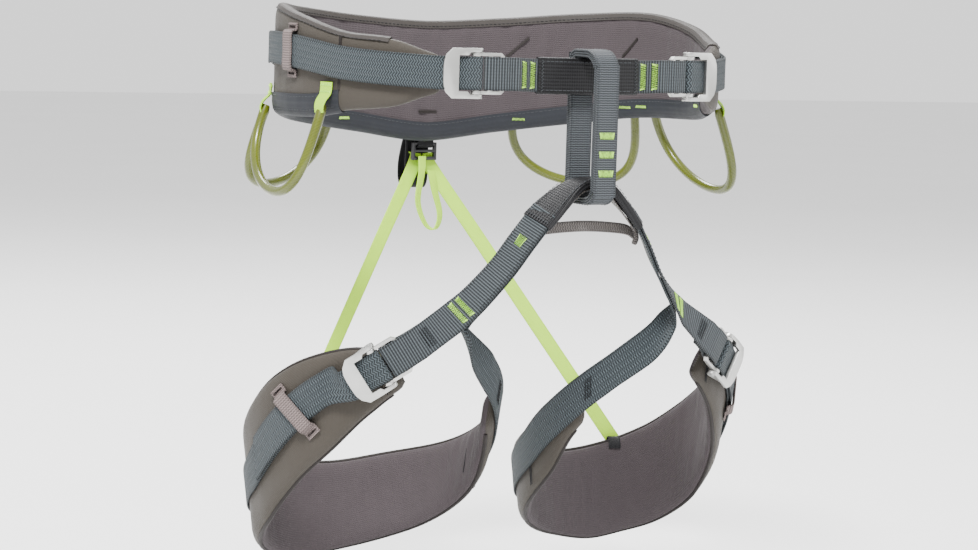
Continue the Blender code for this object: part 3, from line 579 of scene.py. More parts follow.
def area_light(name, place, size, power):
    data = bpy.data.lights.new(name, "AREA")
    data.shape = "DISK"
    data.size = size
    data.energy = power
    light = bpy.data.objects.new(name, data)
    light.location = place
    light.rotation_euler = (LIGHT_TARGET - Vector(place)).to_track_quat("-Z", "Y").to_euler()
    bpy.context.scene.collection.objects.link(light)
    light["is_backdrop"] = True


def add_studio():
    world = bpy.data.worlds.new("studio")
    bpy.context.scene.world = world
    world.use_nodes = True
    background = world.node_tree.nodes["Background"]
    background.inputs["Color"].default_value = (1, 1, 1, 1)
    background.inputs["Strength"].default_value = WORLD_POWER
    for name, (place, size, power) in LIGHTS.items():
        area_light(name, place, size, power)
    paper = Paint("studio_paper", (0.82, 0.82, 0.82), 0.9)
    paper.colour(paper.mix((0.80, 0.80, 0.80), (0.84, 0.84, 0.84), paper.noise(3, 2)))
    top = FLOOR_HEIGHT
    base = FLOOR_HEIGHT - FLOOR_THICK
    reach = FLOOR_REACH
    sections = []
    for x in (-reach, reach):
        outline = ((-reach, top), (reach, top), (reach, base), (-reach, base))
        sections.append([Vector((x, y, z)) / MM for y, z in outline])
    skin("studio_floor", sections, [0, 1, 2, 3, 4], [0, 1], paper.material)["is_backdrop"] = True


# Procedural materials


class Paint:
    """A node material; weave() reads the Fabric coordinates, millimetres across and along."""

    def __init__(self, name, base, roughness, metallic=0.0):
        self.material = bpy.data.materials.new(name)
        self.material.use_nodes = True
        self.tree = self.material.node_tree
        self.shader = self.tree.nodes["Principled BSDF"]
        self.shader.inputs["Base Color"].default_value = (*base, 1)
        self.shader.inputs["Roughness"].default_value = roughness
        self.shader.inputs["Metallic"].default_value = metallic
        self.coordinates = None

    def feed(self, socket, value):
        if isinstance(value, bpy.types.NodeSocket):
            self.tree.links.new(value, socket)
        else:
            socket.default_value = value

    def math(self, operation, first, second=0.0):
        node = self.tree.nodes.new("ShaderNodeMath")
        node.operation = operation
        self.feed(node.inputs[0], first)
        self.feed(node.inputs[1], second)
        return node.outputs[0]

    def weave(self):
        """(across, along) in millimetres."""
        if self.coordinates is None:
            source = self.tree.nodes.new("ShaderNodeUVMap")
            source.uv_map = "Fabric"
            parts = self.tree.nodes.new("ShaderNodeSeparateXYZ")
            self.tree.links.new(source.outputs[0], parts.inputs[0])
            self.coordinates = parts.outputs[0], parts.outputs[1]
        return self.coordinates

    def wave(self, value, length):
        """0 to 1 and back once in each length."""
        turned = self.math("SINE", self.math("MULTIPLY", value, 2 * math.pi / length))
        return self.math("ADD", self.math("MULTIPLY", turned, 0.5), 0.5)

    def noise(self, scale, detail=2.0, stretch=(1, 1, 1)):
        source = self.tree.nodes.new("ShaderNodeTexCoord")
        mapping = self.tree.nodes.new("ShaderNodeMapping")
        mapping.inputs["Scale"].default_value = stretch
        self.tree.links.new(source.outputs["Object"], mapping.inputs["Vector"])
        node = self.tree.nodes.new("ShaderNodeTexNoise")
        node.inputs["Scale"].default_value = scale
        node.inputs["Detail"].default_value = detail
        self.tree.links.new(mapping.outputs[0], node.inputs["Vector"])
        return node.outputs[0]

    def mix(self, first, second, factor):
        """From one colour to another, each an (r, g, b) or a socket."""
        node = self.tree.nodes.new("ShaderNodeMix")
        node.data_type = "RGBA"
        self.feed(node.inputs[0], factor)
        for socket, value in ((node.inputs[6], first), (node.inputs[7], second)):
            self.feed(socket, (*value, 1) if isinstance(value, tuple) else value)
        return node.outputs[2]

    def shades(self, base, dark, light, factor):
        """Between darker and lighter shades of one colour."""
        return self.mix(lighter(base, dark), lighter(base, light), factor)

    def total(self, first, share, second, other_share):
        """Two values added in shares."""
        scaled = self.math("MULTIPLY", first, share)
        return self.math("ADD", scaled, self.math("MULTIPLY", second, other_share))

    def colour(self, value):
        self.feed(self.shader.inputs["Base Color"], value)

    def rough(self, low, high, factor):
        node = self.tree.nodes.new("ShaderNodeMapRange")
        self.feed(node.inputs["Value"], factor)
        node.inputs["To Min"].default_value = low
        node.inputs["To Max"].default_value = high
        self.feed(self.shader.inputs["Roughness"], node.outputs[0])

    def bump(self, height, depth_mm, strength=1.0):
        node = self.tree.nodes.new("ShaderNodeBump")
        node.inputs["Strength"].default_value = strength
        node.inputs["Distance"].default_value = depth_mm * MM
        self.feed(node.inputs["Height"], height)
        self.tree.links.new(node.outputs[0], self.shader.inputs["Normal"])

    def sheen(self, weight, gloss=0.18):
        """How a fabric takes light: a faint bloom at grazing angles and little mirror gloss."""
        self.shader.inputs["Sheen Weight"].default_value = weight
        self.shader.inputs["Sheen Roughness"].default_value = 0.4
        self.shader.inputs["Specular IOR Level"].default_value = gloss


def lighter(colour, share):
    return tuple(min(c * share, 1) for c in colour)


def webbing_paint(
    name, base, half=WEBBING_HALF, rib=1.8, column=2.0, depth=0.9, contrast=0.85, slant=0.75
):
    """Woven webbing: slanted ribs that turn back at every column of warp, between two selvedges."""
    paint = Paint(name, base, 0.62)
    across, along = paint.weave()
    turned = paint.math("PINGPONG", across, column)
    slanted = paint.math("ADD", along, paint.math("MULTIPLY", turned, slant))
    threads_up = paint.total(paint.wave(slanted, rib), 0.88, paint.wave(across, column), 0.12)
    edge = paint.math("GREATER_THAN", paint.math("ABSOLUTE", across), half - 1.3)
    height = paint.math("SUBTRACT", threads_up, paint.math("MULTIPLY", edge, 0.25))
    tone = paint.total(height, 0.8, paint.noise(2600, 2), 0.3)
    woven = paint.shades(base, 1 - contrast, 1 + 2.2 * contrast, paint.math("MULTIPLY", tone, tone))
    worn = paint.shades(base, 0.75, 1.3, paint.noise(28, 3))
    paint.colour(paint.mix(woven, worn, 0.15))
    paint.rough(0.5, 0.78, height)
    paint.bump(height, depth, 0.9)
    paint.sheen(0.04)
    return paint.material


def cloth_paint(name, base, pitch, depth, soft, contrast, rough, sheen):
    """A plain woven fabric with threads both ways, uneven in tone, and softly puckered."""
    paint = Paint(name, base, rough[0])
    across, along = paint.weave()
    crossed = paint.math("MULTIPLY", paint.wave(along, pitch), paint.wave(across, pitch * 1.15))
    pucker = paint.noise(soft, 4, (1, 1, 0.45))
    tone = paint.total(crossed, 0.45, paint.noise(1900, 2), 0.55)
    woven = paint.shades(base, 1 - contrast, 1 + contrast, tone)
    uneven = paint.shades(base, 0.78, 1.2, paint.noise(14, 3))
    paint.colour(paint.mix(woven, uneven, 0.45))
    paint.rough(rough[0], rough[1], pucker)
    paint.bump(paint.total(crossed, 0.35, pucker, 1.0), depth, 0.8)
    paint.sheen(sheen)
    return paint.material


def ribbed_paint(name, base, rib, depth):
    """A tubular sleeve knitted in fine ribs that run along it."""
    paint = Paint(name, base, 0.5)
    across, along = paint.weave()
    height = paint.total(paint.wave(across, rib), 0.75, paint.wave(along, rib * 0.8), 0.25)
    woven = paint.shades(base, 0.4, 4.5, paint.math("MULTIPLY", height, height))
    dusty = paint.shades(base, 0.8, 1.9, paint.noise(60, 4))
    paint.colour(paint.mix(woven, dusty, 0.35))
    paint.rough(0.38, 0.62, height)
    paint.bump(height, depth, 0.9)
    paint.sheen(0.02)
    return paint.material


def metal_paint(name, base):
    """Satin aluminium: fine grain, tumbling marks and a slow drift in tone."""
    paint = Paint(name, base, 0.34, 1.0)
    grain = paint.noise(900, 5)
    marks = paint.noise(70, 5, (1, 1, 4))
    paint.colour(paint.shades(base, 0.86, 1.07, paint.noise(120, 3)))
    paint.rough(0.26, 0.46, marks)
    paint.bump(paint.math("ADD", grain, marks), 0.03, 0.5)
    return paint.material


def tube_paint(name, base):
    """Glossy tube over a cord, whose strands show through it as a fine spiral."""
    paint = Paint(name, base, 0.24)
    across, along = paint.weave()
    strands = paint.wave(paint.math("ADD", along, across), 2.4)
    paint.colour(paint.shades(base, 0.6, 1.45, paint.total(strands, 0.3, paint.noise(45, 3), 0.7)))
    paint.rough(0.2, 0.36, paint.noise(160, 3))
    paint.bump(paint.noise(140, 2), 0.12, 0.35)
    paint.shader.inputs["Coat Weight"].default_value = 0.25
    paint.shader.inputs["Coat Roughness"].default_value = 0.12
    paint.shader.inputs["Specular IOR Level"].default_value = 0.35
    return paint.material


def moulded_paint(name, base):
    """Moulded plastic: a faint texture and small rubbed patches."""
    paint = Paint(name, base, 0.3)
    rubbed = paint.noise(180, 4)
    paint.colour(paint.shades(base, 0.8, 1.9, rubbed))
    paint.rough(0.22, 0.44, rubbed)
    paint.bump(paint.noise(1500, 2), 0.04, 0.5)
    return paint.material


def thread_paint(name, base):
    """Spun thread: fine mottling and fuzz."""
    paint = Paint(name, base, 0.6)
    paint.colour(paint.shades(base, 0.75, 1.2, paint.noise(1200, 2)))
    paint.bump(paint.noise(3000, 2), 0.05, 0.6)
    paint.sheen(0.05)
    return paint.material


# Cloth: colour, thread pitch, depth of relief, scale of puckers, contrast, roughness and sheen
CLOTHS = {
    "shell": ((0.041, 0.035, 0.028), 0.8, 0.9, 70, 0.2, (0.45, 0.65), 0.05),
    "lining": ((0.048, 0.039, 0.042), 1.3, 1.2, 120, 0.34, (0.7, 0.9), 0.05),
    "band": ((0.0165, 0.0180, 0.0220), 1.0, 0.5, 90, 0.35, (0.5, 0.72), 0.03),
    "top_binding": ((0.0300, 0.0260, 0.0235), 0.9, 0.4, 90, 0.35, (0.5, 0.72), 0.03),
    "piping": ((0.015, 0.012, 0.011), 0.8, 0.3, 90, 0.3, (0.5, 0.7), 0.03),
}
# Webbing: material name, colour, then half-width, rib, column, depth, contrast and slant
WEBBINGS = {
    "webbing": ("webbing", (0.030, 0.0375, 0.0415)),
    "ribbed": ("ribbed_webbing", (0.031, 0.0365, 0.0400), WEBBING_HALF, 1.8, 2.0, 0.9, 0.85, 0.0),
    "belay": ("belay_webbing", (0.034, 0.038, 0.042), BELAY_HALF, 1.5, 1.7, 0.4, 0.75, 0.12),
    "tape": ("black_tape", (0.005, 0.005, 0.006), 6, 1.2, 1.6, 0.2, 0.5),
    "keeper": ("keeper_elastic", (0.115, 0.090, 0.086), KEEPER_HALF, 1.6, 0.9, 0.35, 0.5),
    "cross": ("cross_elastic", (0.110, 0.100, 0.095), 3.6, 1.8, 1.2, 0.4, 0.5),
    "lime_elastic": ("lime_elastic", (0.36, 0.62, 0.030), RISER_HALF, 0.9, 1.3, 0.1, 0.14),
    "lime_tape": ("lime_tape", (0.28, 0.50, 0.020), 5, 1.0, 1.4, 0.15, 0.2),
}
THREADS = {
    "lime_thread": (0.42, 0.72, 0.10),
    "keeper_thread": (0.070, 0.055, 0.052),
    "dark_thread": (0.006, 0.0062, 0.007),
    "grey_thread": (0.036, 0.039, 0.043),
}


def make_paints():
    made = {name: cloth_paint(name, *look) for name, look in CLOTHS.items()}
    made.update({use: webbing_paint(*look) for use, look in WEBBINGS.items()})
    made.update({name: thread_paint(name, base) for name, base in THREADS.items()})
    made["sleeve"] = ribbed_paint("sleeve", (0.0040, 0.0040, 0.0045), 2.2, 0.5)
    made["metal"] = metal_paint("satin_metal", (0.47, 0.47, 0.455))
    made["tube"] = tube_paint("gear_tube", (0.062, 0.074, 0.004))
    made["plastic"] = moulded_paint("black_plastic", (0.005, 0.005, 0.0055))
    return made


# Meshes


def object_from(name, points, faces, corners, paint, side=1):
    """A mesh from points in millimetres; corners hold each face's Fabric coordinates."""
    mesh = bpy.data.meshes.new(name)
    mesh.from_pydata([(p.x * side * MM, p.y * MM, p.z * MM) for p in points], [], faces)
    layer = mesh.uv_layers.new(name="Fabric")
    layer.data.foreach_set("uv", [value for face in corners for corner in face for value in corner])
    work = bmesh.new()
    work.from_mesh(mesh)
    bmesh.ops.recalc_face_normals(work, faces=work.faces)
    work.to_mesh(mesh)
    work.free()
    mesh.materials.append(paint)
    mesh.shade_smooth()
    mesh.set_sharp_from_angle(angle=math.radians(50))
    made = bpy.data.objects.new(name, mesh)
    bpy.context.scene.collection.objects.link(made)
    return made


def skin(name, sections, across, along, paint, closed=False, side=1):
    """A closed surface through sections; across has a value more than a section has points."""
    size = len(sections[0])
    count = len(sections)
    points = [corner for section in sections for corner in section]
    faces = []
    corners = []
    for i in range(count if closed else count - 1):
        here = i * size
        there = (i + 1) % count * size
        for j in range(size):
            k = (j + 1) % size
            faces.append((here + j, here + k, there + k, there + j))
            near, far = across[j], across[j + 1]
            low, high = along[i], along[i + 1]
            corners.append(((near, low), (far, low), (far, high), (near, high)))
    if not closed:
        for start in (0, (count - 1) * size):
            faces.append(tuple(range(start, start + size)))
            corners.append([(across[j], along[0]) for j in range(size)])
    return object_from(name, points, faces, corners, paint, side)


def lengths_of(points, closed=False):
    """Distances along points, with one more for the way back to the first if closed."""
    found = [0.0]
    following = points[1:] + (points[:1] if closed else [])
    for before, after in zip(points, following):
        found.append(found[-1] + (after - before).length)
    return found


def refined(path, steps, closed):
    """More stations of (centre, half-width) on a smooth curve through those given."""
    knots = [Vector((*centre, *half)) for centre, half in path]
    if closed:
        knots = knots[-2:] + knots + knots[:3]
    curve = through(knots, steps)
    if closed:
        curve = curve[2 * steps : (2 + len(path)) * steps]
    return [(Vector(item[:3]), Vector(item[3:])) for item in curve]


# A strap's section: shares of its half-width and of its thickness
STRAP_SECTION = (
    (-1, -0.2), (-1, 0.2), (-0.97, 0.42), (-0.88, 0.5), (-0.45, 0.47), (0, 0.46),
    (0.45, 0.47), (0.88, 0.5), (0.97, 0.42), (1, 0.2), (1, -0.2), (0.97, -0.42),
    (0.88, -0.5), (0.45, -0.47), (0, -0.46), (-0.45, -0.47), (-0.88, -0.5), (-0.97, -0.42),
)


class Strap:
    """Webbing along a path of (centre, half-width); at() finds points on its face, for stitches."""

    def __init__(self, path, thick, steps=4, closed=False, side=1):
        self.thick = thick
        self.closed = closed
        self.side = side
        self.stations = refined(path, steps, closed)
        centres = [centre for centre, _ in self.stations]
        self.lengths = lengths_of(centres, closed)
        self.faces = []
        for way, (_, half) in zip(tangents(centres, closed), self.stations):
            self.faces.append(way.cross(half).normalized())

    def length(self):
        return self.lengths[-1]

    def at(self, along, across, lift=0.0):
        """A point lift above the front face; a lift past -thick is under the back one."""
        if self.closed:
            along %= self.length()
        last = len(self.lengths) - 2
        i = 0
        while i < last and self.lengths[i + 1] < along:
            i += 1
        k = (i + 1) % len(self.stations)
        span = max(self.lengths[i + 1] - self.lengths[i], 1e-6)
        share = min(max((along - self.lengths[i]) / span, 0), 1)
        centre = self.stations[i][0].lerp(self.stations[k][0], share)
        half = self.stations[i][1].lerp(self.stations[k][1], share).normalized()
        face = self.faces[i].lerp(self.faces[k], share).normalized()
        return centre + half * across + face * (self.thick / 2 + lift)

    def nearest(self, point):
        """How far along the strap a point lies."""
        places = spread(0, self.length(), int(self.length()) + 2)
        gaps = [(self.at(place, 0) - point).length for place in places]
        return places[gaps.index(min(gaps))]

    def tack(self, along, lift=0.3):
        """place(a, b) round one spot, for a zigzag across the strap."""
        return lambda a, b: self.at(along + a, b, lift)

    def row(self, across, base=0.0, sign=1):
        """place(distance, lift) in a row along the strap, for dashes."""
        return lambda distance, lift: self.at(distance, across, base + sign * lift)

    def mesh(self, name, paint):
        sections = []
        for (centre, half), face in zip(self.stations, self.faces):
            sections.append([centre + half * a + face * (b * self.thick) for a, b in STRAP_SECTION])
        width = self.stations[0][1].length
        across = [a * width for a, _ in STRAP_SECTION]
        return skin(name, sections, [*across, across[0]], self.lengths, paint, self.closed, self.side)


def round_tube(name, points, radius, paint, side=1, sides=14):
    """A round tube with its ends drawn in."""
    along = tangents(points)
    across = along[0].orthogonal().normalized()
    sections = []
    last = len(points) - 1
    for i, (centre, way) in enumerate(zip(points, along)):
        across = (across - way * across.dot(way)).normalized()
        other = way.cross(across)
        size = radius * (0.72 if i in (0, last) else 1)
        ring = []
        for j in range(sides):
            turn = 2 * math.pi * j / sides
            ring.append(centre + across * (size * math.cos(turn)) + other * (size * math.sin(turn)))
        sections.append(ring)
    around = [2 * math.pi * radius * j / sides for j in range(sides + 1)]
    return skin(name, sections, around, lengths_of(points), paint, side=side)


def threads(name, runs, radius, paint, side=1):
    """Sewing thread: each run of points becomes a thin five-sided strand."""
    points = []
    faces = []
    corners = []
    for run in runs:
        across = (run[1] - run[0]).orthogonal().normalized()
        first = len(points)
        for centre, way in zip(run, tangents(run)):
            across = (across - way * across.dot(way)).normalized()
            other = way.cross(across)
            for j in range(5):
                turn = 2 * math.pi * j / 5
                points.append(centre + (across * math.cos(turn) + other * math.sin(turn)) * radius)
        for i in range(len(run) - 1):
            for j in range(5):
                k = (j + 1) % 5
                here = first + i * 5
                faces.append((here + j, here + k, here + 5 + k, here + 5 + j))
        faces.append(tuple(first + j for j in range(5)))
        faces.append(tuple(first + (len(run) - 1) * 5 + j for j in range(5)))
    for face in faces:
        corners.append([(0, 0)] * len(face))
    return object_from(name, points, faces, corners, paint, side)


def dashes(place, first, last):
    """Straight stitches along place(distance, lift), each a little longer than the gap after it."""
    pitch = 3.2
    arch = ((0, -0.15), (0.15, 0.12), (0.5, 0.12), (0.65, -0.15))
    runs = []
    for i in range(max(int((last - first) / pitch), 1)):
        start = first + i * pitch
        runs.append([place(start + pitch * share, lift) for share, lift in arch])
    return runs


def zigzag(place, width, height, turns):
    """A close zigzag of place(a, b), a across its width and b along its height."""
    run = []
    for i in range(2 * turns + 1):
        a = width / 2 if i % 2 else -width / 2
        run.append(place(a, height * (i / (2 * turns) - 0.5)))
    return run


def bar_tack(place, *sizes):
    """Zigzags sewn over one another, each (width, height, turns)."""
    return [zigzag(place, *size) for size in sizes]


def mirrored(point, side):
    return Vector((point.x * side, point.y, point.z))


def dress(made, body, slot, *nodes):
    """Ties a piece to its CAD body and hides the CAD nodes it stands for; slot is not used."""
    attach(made, body)
    if nodes:
        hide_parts(*nodes)
    return made


def bend(made, body, slot, start, end, *nodes):
    """For a piece that crosses from the belt to another body: hides the CAD nodes it stands for and bakes
    its place into its mesh; body, slot, start and end are not used.
    """
    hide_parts(*nodes)
    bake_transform(made)


def woven(name, path, thick, steps, paint, body, slot, *nodes):
    """A band of webbing as a piece."""
    dress(Strap(path, thick, steps).mesh(name, paint), body, slot, *nodes)


def sew(name, runs, radius, paint, body, slot, side=1):
    """Stitches as a piece of their own."""
    dress(threads(name, runs, radius, paint, side), body, slot)


# Pads


def rounded_rise(distance, reach):
    """0 at an edge, rising to 1 at reach from it, like a rounded corner."""
    share = min(max(distance / reach, 0), 1)
    return math.sqrt(1 - (1 - share) ** 2)


def swell(rim):
    """How full the pad is at a distance in from its rim."""
    return 0.25 + 0.75 * rounded_rise(rim, 9)


def wrinkles(amount, size, seed):
    """Soft folds that run up and down the pad."""

    def lift(along, height):
        fold = noise.noise(Vector((along / size, height / (size * 3.5), seed)))
        broad = noise.noise(Vector((along / (size * 3.1), height / (size * 5), seed + 7)))
        return amount * (fold + 0.8 * broad)

    return lift


def pad_face(name, stops, spacing, line, out_by, wrinkle, paint, side=1):
    """Half of a pad: a crowned face whose edges pull in to the pad's middle, closed behind.

    line is (place, low, high): a point of the pad, and its rims' heights, from how far along it is.
    """
    place, low, high = line
    levels = [0.5 - 0.5 * math.cos(math.pi * i / 25) for i in range(26)]
    sections = []
    for stop in stops:
        from_tip = min(stop - stops[0], stops[-1] - stop) * spacing
        tip = rounded_rise(from_tip, 8)
        bottom = low(stop) + (1 - tip) * 6
        top = high(stop) - (1 - tip) * 6
        section = []
        for level in levels:
            height = bottom + (top - bottom) * level
            rim = min(height - bottom, top - height)
            fold = wrinkle(stop * spacing, height) * rounded_rise(rim, 12) * tip
            section.append(place(stop, out_by * swell(rim) * (0.3 + 0.7 * tip) + fold, height))
        section.append(place(stop, 0, top))
        section.append(place(stop, 0, bottom))
        sections.append(section)
    middle = stops[len(stops) // 2]
    tall = high(middle) - low(middle)
    across = [level * tall for level in levels] + [tall + 4, -4, 0]
    along = [stop * spacing for stop in stops]
    return skin(name, sections, across, along, paint, side=side)


def edge_strip(name, stops, edge, turn, inside, outside, paint):
    """Fabric folded over a pad's rim; turn is 1 over the top edge and -1 under the bottom one."""
    wall = 0.7
    shares = (0.05, 0.12, 0.25, 0.4, 0.6, 0.8, 0.97, 1)
    outer = [(SHELL[1] * swell(outside * share) + 0.3, outside * share) for share in shares]
    inner = [(LINING[0] * swell(inside * share) - 0.3, inside * share) for share in shares]
    line = [*outer[::-1], (1.0, -0.4), (0, -0.6), (-1.0, -0.4), *inner]
    sections = []
    for stop in stops:
        rim = edge(from_front(stop))
        ruck = 0.25 * noise.noise(Vector((stop / 9, turn * 3, 0)))
        section = [belt_point(stop, n, rim - turn * h) for n, h in line]
        for n, h in reversed(line):
            away = wall + ruck if 0.5 < h else wall
            push = math.copysign(away, n) if abs(n) > 1.2 else n * 0.5
            drop = -wall if h < 0.5 else 0
            section.append(belt_point(stop, n + push, rim - turn * (h + drop)))
        sections.append(section)
    count = len(sections[0])
    across = [i * 30 / count for i in range(count + 1)]
    return skin(name, sections, across, list(stops), paint)


def waist_pads(paints):
    end = 2 * BELT_HALF_LENGTH - PAD_TIP
    stops = spread(PAD_TIP, end, 280)

    def low(stop):
        return pad_bottom(from_front(stop))

    def high(stop):
        return pad_top(from_front(stop))

    line = (belt_point, low, high)
    folds = wrinkles(0.55, 17, 1)
    shell = pad_face("waist_pad_outside", stops, 1, line, SHELL[1], folds, paints["shell"])
    dress(shell, "waist_belt", "pad_outer_fabric", "waist_shell", "waist_foam")
    folds = wrinkles(0.8, 8, 4)
    lining = pad_face("waist_pad_inside", stops, 1, line, LINING[0], folds, paints["lining"])
    dress(lining, "waist_belt", "pad_lining_fabric", "waist_lining")
    grid = belt_stops(0, 2 * BELT_SPANS)
    over = spread(grid[BINDING_SPAN], grid[-1 - BINDING_SPAN], 230)
    top = edge_strip("waist_top_edge", over, pad_top, 1, 4, 2, paints["top_binding"])
    dress(top, "waist_belt", "edge_binding", "waist_top_binding")
    under = spread(grid[BAND_SPAN], grid[-1 - BAND_SPAN], 230)
    band = edge_strip("waist_bottom_edge", under, pad_bottom, -1, 12, 13.5, paints["band"])
    dress(band, "waist_belt", "edge_binding", "waist_lower_band")
    waist_seams(paints, over, under)


def waist_seams(paints, over, under):
    """Stitching through the bindings, seams of the outer fabric, and bars and tacks on the lining."""

    def along_edge(stops, edge, turn, height, out_by):
        sign = 1 if out_by > 0 else -1

        def place(stop, lift):
            return belt_point(stop, out_by + sign * lift, edge(from_front(stop)) - turn * height)

        return dashes(place, stops[0] + 2, stops[-1] - 2)

    clear = 1.05
    runs = along_edge(under, pad_bottom, -1, 11.6, SHELL[1] + clear)
    runs += along_edge(under, pad_bottom, -1, 10.2, LINING[0] - clear)
    runs += along_edge(under, pad_bottom, -1, 3.0, SHELL[1] * swell(3) + clear)
    sew("band_stitches", runs, FINE_THREAD, paints["grey_thread"], "waist_belt", "edge_binding")
    runs = along_edge(over, pad_top, 1, 1.8, SHELL[1] * swell(2) + 1)
    runs += along_edge(over, pad_top, 1, 2.6, LINING[0] * swell(3) - 1)
    sew("top_stitches", runs, FINE_THREAD, paints["dark_thread"], "waist_belt", "edge_binding")
    runs = []
    heights = spread(pad_bottom(SEAM_AT) + 13, pad_top(SEAM_AT) - 2, 12)
    for distance in (SEAM_AT, 2 * BELT_HALF_LENGTH - SEAM_AT):
        for step in (0, 1.3):
            runs.append([belt_point(distance + step, SHELL[1] + 0.25, z) for z in heights])
    for sign, low_end, high_end in LINING_BARS:
        for lift in (-0.5, 0.5):
            runs.append(lining_bar(low_end, high_end, sign, lift))
    sew("pad_seams", runs, 0.6, paints["piping"], "waist_belt", "edge_binding")
    runs = []
    for first, last, _ in GEAR_LOOPS.values():
        for distance in (first, 2 * BELT_HALF_LENGTH - first, last, 2 * BELT_HALF_LENGTH - last):
            height = pad_bottom(from_front(distance)) + 6.5

            def inner(a, b, at=distance, z=height):
                return belt_point(at + b, LINING[0] - 1.25, z + a)

            runs.append(zigzag(inner, 1.5, 9, 9))
    sew("inner_tacks", runs, TACK_THREAD, paints["lime_thread"], "waist_belt", "lime_elastic")


def lining_bar(low_end, high_end, sign, lift):
    """A bar of dark stitching on the lining, on the side of the back that sign says."""
    points = []
    for t in spread(0, 1, 7):
        round_from_back = low_end[0] + (high_end[0] - low_end[0]) * t
        height = low_end[1] + (high_end[1] - low_end[1]) * t
        distance = BELT_HALF_LENGTH - sign * round_from_back
        points.append(belt_point(distance, LINING[0] - 0.45, height + lift))
    return points


def leg_pads(paints, word, side):
    body = f"leg_loop_{word}"
    stops = spread(PAD_FRONT_END, PAD_FRONT_END + LEG_STEP * LEG_SPANS, 250)
    spacing = 1.35
    line = (leg_point, leg_pad_bottom, leg_pad_top)
    seed = 20 if side > 0 else 40
    name = f"leg_pad_outside_{word}"
    folds = wrinkles(0.5, 16, seed)
    shell = pad_face(name, stops, spacing, line, SHELL[1], folds, paints["shell"], side)
    dress(shell, body, "pad_outer_fabric", f"leg_shell_{word}", f"leg_foam_{word}")
    name = f"leg_pad_inside_{word}"
    folds = wrinkles(0.85, 7, seed + 5)
    lining = pad_face(name, stops, spacing, line, LINING[0], folds, paints["lining"], side)
    dress(lining, body, "pad_lining_fabric", f"leg_lining_{word}")
    for place, edge, turn in (("top", leg_pad_top, 1), ("bottom", leg_pad_bottom, -1)):
        rim = [leg_point(stop, 0.2, edge(stop) + turn * 0.2) for stop in stops[4:-4]]
        piping = round_tube(f"leg_piping_{place}_{word}", rim, 1.35, paints["piping"], side, 8)
        dress(piping, body, "edge_binding")
    runs = []
    for angle in (-105, -104, 151, 152.2):
        heights = spread(leg_pad_bottom(angle) + 3, leg_pad_top(angle) - 3, 9)
        runs.append([leg_point(angle, SHELL[1] + 0.25, z) for z in heights])
    for angle in (-88, 152):
        middle = (leg_pad_bottom(angle) + leg_pad_top(angle)) / 2
        heights = spread(middle - 8, middle + 8, 9)
        runs.append([leg_point(angle, LINING[0] - 0.3, z) for z in heights])
    sew(f"leg_seams_{word}", runs, 0.32, paints["dark_thread"], body, "edge_binding", side)


# Waist straps


def waist_straps(paints):
    seat = waist_seat()
    half = UP * WEBBING_HALF
    end = 2 * BELT_SPANS

    def laid(first, last, out_by):
        stations = []
        for distance in belt_stops(first, last):
            height = webbing_height(from_front(distance))
            stations.append((belt_point(distance, out_by, height), half))
        return stations

    def across_front(stations):
        return [(mirrored(centre, -1), width) for centre, width in stations]

    roll = seat.strip(roll_points())
    path = laid(WEBBING_SPAN, TAIL_SPAN, TAIL_OUT)[::-1]
    path += roll[::-1]
    path += laid(WEBBING_SPAN, end - WEBBING_SPAN, WEBBING_OUT)
    path += across_front(roll)
    path += laid(end - TAIL_SPAN, end - WEBBING_SPAN, TAIL_OUT)[::-1]
    place = ("waist_belt", "harness_webbing", "waist_webbing")
    woven("waist_webbing_woven", path, WEBBING_THICK, 4, paints["webbing"], *place)

    loop = seat.strip(loop_points())
    reach = WAIST_BUCKLE_AT - LINK_REACH
    outer = []
    inner = []
    for distance in spread(-reach, reach, 9):
        height = webbing_height(abs(distance))
        outer.append((belt_point(distance, 8.0, height), half))
        inner.append((belt_point(-distance, 6.1, height), half))
    closed_path = outer + loop + inner + across_front(loop)[::-1]
    front = Strap(closed_path, WEBBING_THICK, 3, closed=True)
    made = front.mesh("front_strap_woven", paints["ribbed"])
    dress(made, "waist_belt", "harness_webbing", "front_strap")
    runs = []
    for along in (reach * 2 - 0.5, reach * 2 + 7.5, 0.5, -7.5):
        runs += bar_tack(front.tack(along), (4.0, 16.5, 15), (3.2, 15.5, 11))
    sew("front_tacks", runs, TACK_THREAD, paints["lime_thread"], "waist_belt", "harness_webbing")

    ring = []
    for distance in spread(-FRONT_SLEEVE_HALF, FRONT_SLEEVE_HALF, 31):
        ring.append((belt_point(distance, PIN_N, webbing_height(abs(distance))), UP))
    widths = [WEBBING_HALF + 1.2] * len(ring)
    sleeve_over(paints, "front_sleeve_knit", ring, widths, "front_tie_in_sleeve")
    for word, side in SIDES:
        waist_keeper(paints, word, side)


